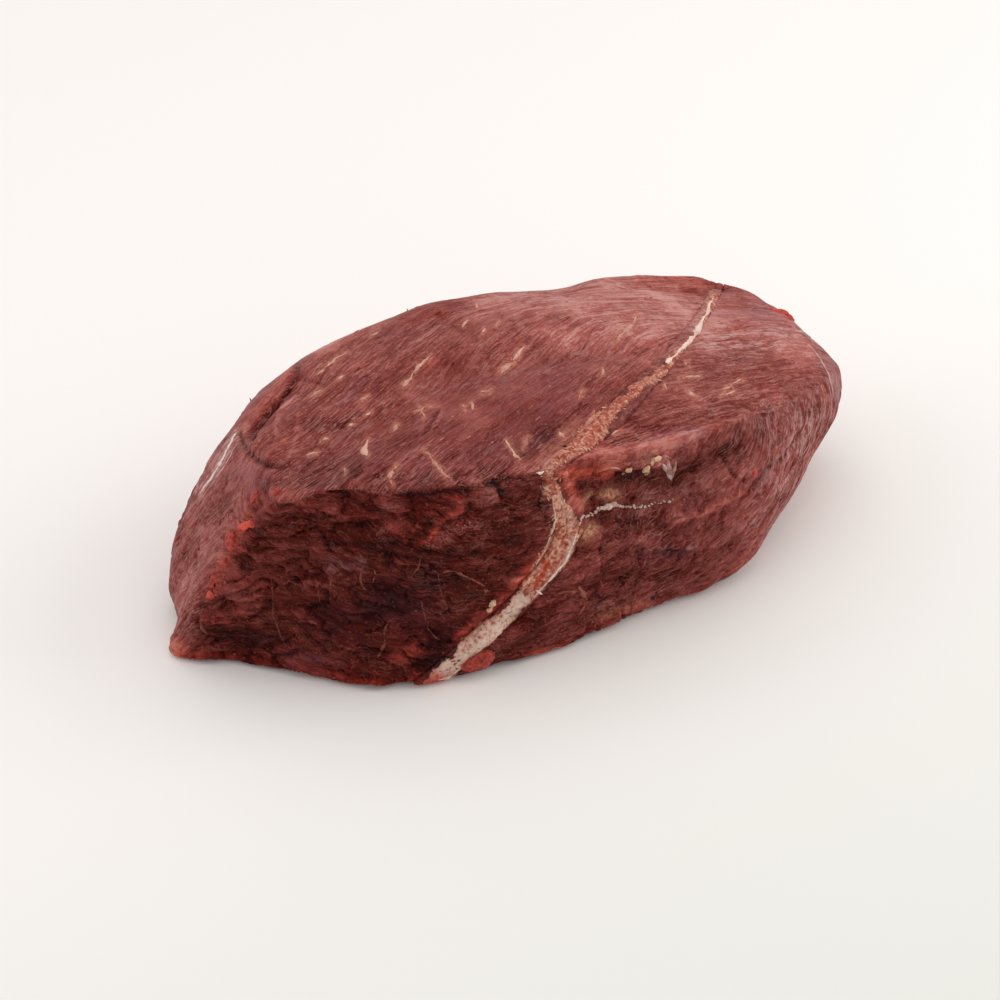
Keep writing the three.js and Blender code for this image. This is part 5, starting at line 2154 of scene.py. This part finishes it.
    def routes(self, trails: list[Trail]) -> bpy.types.Mesh:
        """Joins trails into polylines in metres that keep their thickness and tint.

        Args:
            trails: Threads to be.

        Returns:
            A mesh of points and edges.
        """
        places: list[list[float]] = []
        edges: list[tuple[int, int]] = []
        thickness: list[float] = []
        tints: list[float] = []
        for number, trail in enumerate(trails):
            start, count = len(places), len(trail.points)
            share = np.linspace(*self.ENDS, count)
            cells = np.column_stack([share * count / self.SWELLING, np.full(count, number), np.zeros(count)])
            swelling = 1.0 + trail.uneven * lattice_noise(cells, self.SWELLING_SEED)
            fullness = np.maximum(swelling, self.THINNEST)
            radius = trail.width / 2 * np.sin(np.pi * share) ** self.TAPER * fullness * MM
            places += (trail.points * MM + trail.facing * (radius * trail.stand)[:, None]).tolist()
            edges += [(start + i, start + i + 1) for i in range(count - 1)]
            thickness += list(radius)
            mottle = self.MOTTLE * lattice_noise(cells + 40.0, self.MOTTLE_SEED)
            tints += list(np.clip(trail.tint + mottle, 0.0, 1.0))
        mesh = bpy.data.meshes.new("routes")
        mesh.from_pydata(places, edges, [])
        keep(mesh, {"thickness": np.array(thickness), "tint": np.array(tints)})
        return mesh


@dataclass
class Bits:
    """A piece of small rough rounded bits, each with an aim, an outward direction, a size and a tint.

    Fields: the piece's name, slot and finish, how finely a bit is divided, how uneven the bits are and the
    size of the unevenness in millimetres, and the seed.
    """

    name: str
    slot: str
    finish: BitFinish
    detail: int
    roughness: float
    grain: float
    seed: int

    def __post_init__(self) -> None:
        """Starts without bits, and seeds the chance."""
        self.rows: list[tuple] = []
        self.chance = np.random.default_rng(self.seed)

    def add(
        self, place: np.ndarray, aim: np.ndarray, up: np.ndarray, size: tuple[float, ...], tint: float
    ) -> None:
        """Adds one bit.

        Args:
            place: Its middle, in millimetres.
            aim: Direction of its length.
            up: Outward direction.
            size: Half length, half width and half height, in millimetres.
            tint: Colour from 0 to 1.
        """
        self.rows.append((place, aim, up, size, tint))

    def finished(self) -> None:
        """Turns the bits into a piece."""
        places, aims, ups, sizes, tints = (np.array(column) for column in zip(*self.rows))
        mesh = bpy.data.meshes.new("points")
        mesh.from_pydata((places * MM).tolist(), [], [])
        keep(mesh, {"aim": aims, "up": ups, "size": sizes * MM, "tint": tints})
        settings = {"Detail": ("Int", self.detail)}
        finish = self.finish.material()
        recipe = Recipe("bits on points", settings, self.roughness, self.grain, self.seed, finish)
        recipe.end_in_bits(recipe.inputs["Geometry"], *(recipe.kept(name) for name in ("aim", "up", "size")))
        recipe.run(mesh, self.name)


@dataclass
class Nubs(Bits):
    """Rounded nubs that the photograph shows."""

    def build(self, lumps: tuple[Lump, ...], surface: Surface) -> None:
        """Sets the lumps on the dressed meat.

        Args:
            lumps: The nubs.
            surface: The dressed meat.
        """
        right, up, _ = surface.view.axes()
        for lump in lumps:
            place, facing = surface.beside(lump.at)
            turn = math.radians(lump.turn)
            aim = right * math.cos(turn) + up * math.sin(turn)
            aim = aim - facing * (aim @ facing)
            size = (lump.length / 2, lump.width / 2, lump.height / 2)
            self.add(place + facing * (lump.height * lump.stand), aim, facing, size, lump.tint)
        self.finished()


@dataclass
class Fringe(Bits):
    """Short teeth and hairs of sinew along the seam's edges, where it was cut.

    Fields: half length, half width and half height of the smallest and largest tooth in millimetres, and the
    spacing of teeth in pixels along the edges that show and in millimetres along the hidden ones.
    """

    smallest: tuple[float, float, float] = (0.40, 0.20, 0.14)
    largest: tuple[float, float, float] = (1.05, 0.34, 0.22)
    spacing: float = 3.4
    hidden_spacing: float = 1.9

    SWAY = 0.8  # pixels that a row strays sideways
    ON_FACE = (14, 12)  # how many corners of the cut face's left and right edge have teeth
    OUTWARD = (0.6, 0.8, 0.0)  # direction in which the seam's back edge lies
    BACK_START = 40.0  # millimetres out in that direction
    BACK_FACING = 0.35  # how squarely the back edge faces there
    LOWEST = 2.0  # millimetres above the board
    LEVEL = 0.8  # millimetres above and below a tooth in which its edge is looked for
    LEAN = 0.8  # radians that teeth lean
    STRAY = 0.6  # millimetres that teeth stray across the edge
    DEPTH = 0.05  # millimetres that they are sunk
    TINTS = (0.3, 0.9)

    def build(self, surface: Surface, seam: bpy.types.Object) -> None:
        """Sets the teeth along the dressed seam's edges.

        Args:
            surface: The dressed meat.
            seam: The dressed seam.
        """
        left, right = self.ON_FACE
        for edge in (TOP_EDGE_LEFT, TOP_EDGE_RIGHT, FACE_EDGE_LEFT[:left], FACE_EDGE_RIGHT[:right]):
            points, facing = surface.follow(edge, self.spacing, self.SWAY, self.seed)
            for before, place, after, way in zip(points[:-2], points[1:-1], points[2:], facing[1:-1]):
                along = after - before
                self.tooth(place, along / (np.linalg.norm(along) + 1e-9), way)
        self.behind(surface, seam)
        self.finished()

    def tooth(self, place: np.ndarray, along: np.ndarray, facing: np.ndarray) -> None:
        """Adds one tooth that leans across the edge.

        Args:
            place: Where it stands, in millimetres.
            along: Direction of the edge.
            facing: Outward direction.
        """
        across = np.cross(along, facing)
        across /= np.linalg.norm(across) + 1e-9
        lean = self.chance.normal(0.0, self.LEAN)
        aim = across * math.cos(lean) + along * math.sin(lean)
        share = self.chance.random() ** 2
        size = tuple(a + (b - a) * share for a, b in zip(self.smallest, self.largest))
        spot = place + across * self.chance.normal(0.0, self.STRAY) - facing * self.DEPTH
        self.add(spot, aim, facing, size, self.chance.uniform(*self.TINTS))

    def behind(self, surface: Surface, seam: bpy.types.Object) -> None:
        """Sets teeth up the dressed seam's back edge, which the photograph doesn't show.

        Args:
            surface: The dressed meat.
            seam: The dressed seam.
        """
        points, normals = mesh_points(seam.data), mesh_normals(seam.data)
        outward, up = np.array(self.OUTWARD), np.array([0.0, 0.0, 1.0])
        back = points[(points @ outward > self.BACK_START) & (normals @ outward > self.BACK_FACING)]
        sideways = back @ np.cross(up, outward)
        for height in np.arange(self.LOWEST, back[:, 2].max() - 1.0, self.hidden_spacing):
            level = np.flatnonzero(np.abs(back[:, 2] - height) < self.LEVEL)
            if len(level) > 1:
                for end in (np.argmin(sideways[level]), np.argmax(sideways[level])):
                    place, facing = surface.nearest(Vector(back[level[end]] * MM))
                    self.tooth(place, up, facing)


@dataclass
class BeadedBranch(Bits):
    """The white branch of gristle beads on the front of the short muscle."""

    SPACING, SWAY = 2.2, 0.5  # pixels between beads, and that their row strays sideways
    LIMITS = ((0.42, 0.80), (0.30, 0.56), (0.30, 0.55))  # least and most of half length, width and height
    FULLEST, FULL_REACH = 0.36, 0.10  # share of the branch's length where its beads are largest
    GAP = (0.7, 0.88)  # share of its length over which its beads are small
    TINTS = (0.35, 0.95)

    def build(self, surface: Surface) -> None:
        """Strings the beads along the dressed meat.

        Args:
            surface: The dressed meat.
        """
        chance = self.chance
        points, facing = surface.follow(BEADED_BRANCH, self.SPACING, self.SWAY, self.seed)
        for index in range(1, len(points) - 1):
            share = index / len(points)
            full = 0.35 * (share < self.GAP[0] or share > self.GAP[1])
            fullness = 0.55 + 1.1 * bell(share - self.FULLEST, self.FULL_REACH) + full
            size = tuple(fullness * chance.uniform(low, high) for low, high in self.LIMITS)
            aim = points[index + 1] - points[index - 1] + chance.normal(0.0, 0.8, 3)
            spot = points[index] + facing[index] * chance.uniform(0.0, 0.4) + chance.normal(0.0, 0.25, 3)
            self.add(spot, aim, facing[index], size, chance.uniform(*self.TINTS))
        self.finished()


@dataclass(frozen=True)
class Flecks:
    """Very small flecks of fat, strewn over a muscle along its fibres.

    Fields: flecks on a square metre where they lie thickest, half length, half width and half height of the
    smallest and largest in millimetres, how rough they are in millimetres, and how finely one is divided.
    """

    density: float = 7000.0
    smallest: tuple[float, float, float] = (0.5, 0.20, 0.16)
    largest: tuple[float, float, float] = (2.0, 0.38, 0.26)
    roughness: float = 0.30
    detail: int = 2

    def build(self, muscle: bpy.types.Object, finish: bpy.types.Material, seed: int) -> None:
        """Makes the piece.

        Args:
            muscle: The dressed muscle.
            finish: Material of the flecks.
            seed: Picks their places and sizes.
        """
        settings = {
            "Density": ("Float", self.density),
            "Smallest": ("Vector", tuple(size * MM for size in self.smallest)),
            "Largest": ("Vector", tuple(size * MM for size in self.largest)),
            "Places": ("Int", seed),
            "Detail": ("Int", self.detail),
        }
        recipe = Recipe("flecks along the fibres", settings, self.roughness, Recipe.FINE, seed, finish)
        tree, inputs = recipe.tree, recipe.inputs
        feeds = {0: recipe.kept("fleck", "FLOAT"), 1: inputs["Density"]}
        here = put(tree, "ShaderNodeMath", feeds, operation="MULTIPLY").outputs[0]
        feeds = {"Mesh": inputs["Geometry"], "Density": here, "Seed": inputs["Places"]}
        spread = put(tree, "GeometryNodeDistributePointsOnFaces", feeds).outputs
        feeds = {0: inputs["Smallest"], 1: inputs["Largest"], "Seed": inputs["Places"]}
        size = put(tree, "FunctionNodeRandomValue", feeds, data_type="FLOAT_VECTOR").outputs[0]
        recipe.end_in_bits(spread["Points"], recipe.kept("fibre"), spread["Normal"], size)
        recipe.run(muscle.data.copy(), muscle.name.replace("_meat", "_flecks"))


def main() -> None:
    """Builds the studio and then the roast, piece by piece."""
    logging.basicConfig(level=logging.INFO, format="%(message)s")
    view = Viewpoint()
    view.build()
    Studio().build()
    solids = {name: node.data for name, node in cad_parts.items()}
    grain = Grain(Girth(np.vstack([mesh_points(mesh) for mesh in solids.values()])))
    beside = tree_of(solids["sinew_seam"])
    long_lean = LeanMeat("dark lean of the long muscle", 0.56, 0.10)
    short_lean = LeanMeat("paler lean of the short muscle", 0.57, 0.20)
    muscles = [
        Muscle("long_muscle", 0.91, 13, long_lean, False).build(grain, view, beside),
        Muscle("short_muscle", 0.68, 15, short_lean, True).build(grain, view, beside),
    ]
    beside = tree_of(solids["long_muscle"], solids["short_muscle"])
    seam = SinewSeam(SeamFinish("cut sinew and fat", long_lean)).build(grain, view, beside)
    surface = Surface([*muscles, seam], view)

    # Firm beef fat: opaque, pink where it is thin and the lean shows through it, cream where it is thick.
    fat = BitFinish("threads of fat", "#9a5044", "#dcae9d", 0.5)
    faint = BitFinish("faint flecks of fat", "#9a5248", "#d6a594", 0.9, 6.0)
    cream = BitFinish("nubs of fat", "#9c604a", "#dcb795", 0.6)
    # Connective tissue: nearly white and a little glossy where clean, pink where wet flesh clings to it.
    white = BitFinish("white seam threads", "#a4614f", "#efd6ca", 0.4)
    comb = BitFinish("cut ends of the seam", "#a5583f", "#d8a88b", 0.4)
    gristle = BitFinish("beads of gristle", "#8e5648", "#d9bfb0", 0.5)
    silver = BitFinish("silverskin, thin and pearly over the lean", "#9c615c", "#e0cdc6", 0.45, 2.0, 0.3)
    # Veins are half sunk and take the colour of the lean round them.
    vein = BitFinish("veins and membrane", "#561c16", "#95574c", 0.5)
    # Flesh that was torn, not cut: wet, bright red and shiny.
    flesh = BitFinish("moist red flesh", "#681510", "#cf4c39", 0.9, 1.3, 0.5)
    for threads in (
        Threads("silverskin", SILVERSKIN, silver),
        Threads("marbling", TOP_FLECKS, fat, 0.85, 2.4, 1.1),
        Threads("seam_threads", SEAM_THREADS, white),
        Threads("veins", VEINS, vein, 1.0, 1.4, 0.9, 70),
    ):
        threads.build(surface, grain)
    Fringe("seam_fringe", "sinew", comb, 2, 0.35, 0.9, 23).build(surface, seam)
    BeadedBranch("gristle_branch", "sinew", gristle, 2, 0.45, 0.8, 41).build(surface)
    Nubs("fat_nubs", "sinew", cream, 4, 1.5, 1.0, 71).build(CREAM_LUMPS, surface)
    Nubs("red_nubs", "long_muscle", flesh, 5, 2.6, 1.9, 81).build(RED_LUMPS, surface)
    fleck_finish = faint.material()
    for number, muscle in enumerate(muscles):
        Flecks().build(muscle, fleck_finish, 61 + number)


if __name__ == "__main__":
    main()
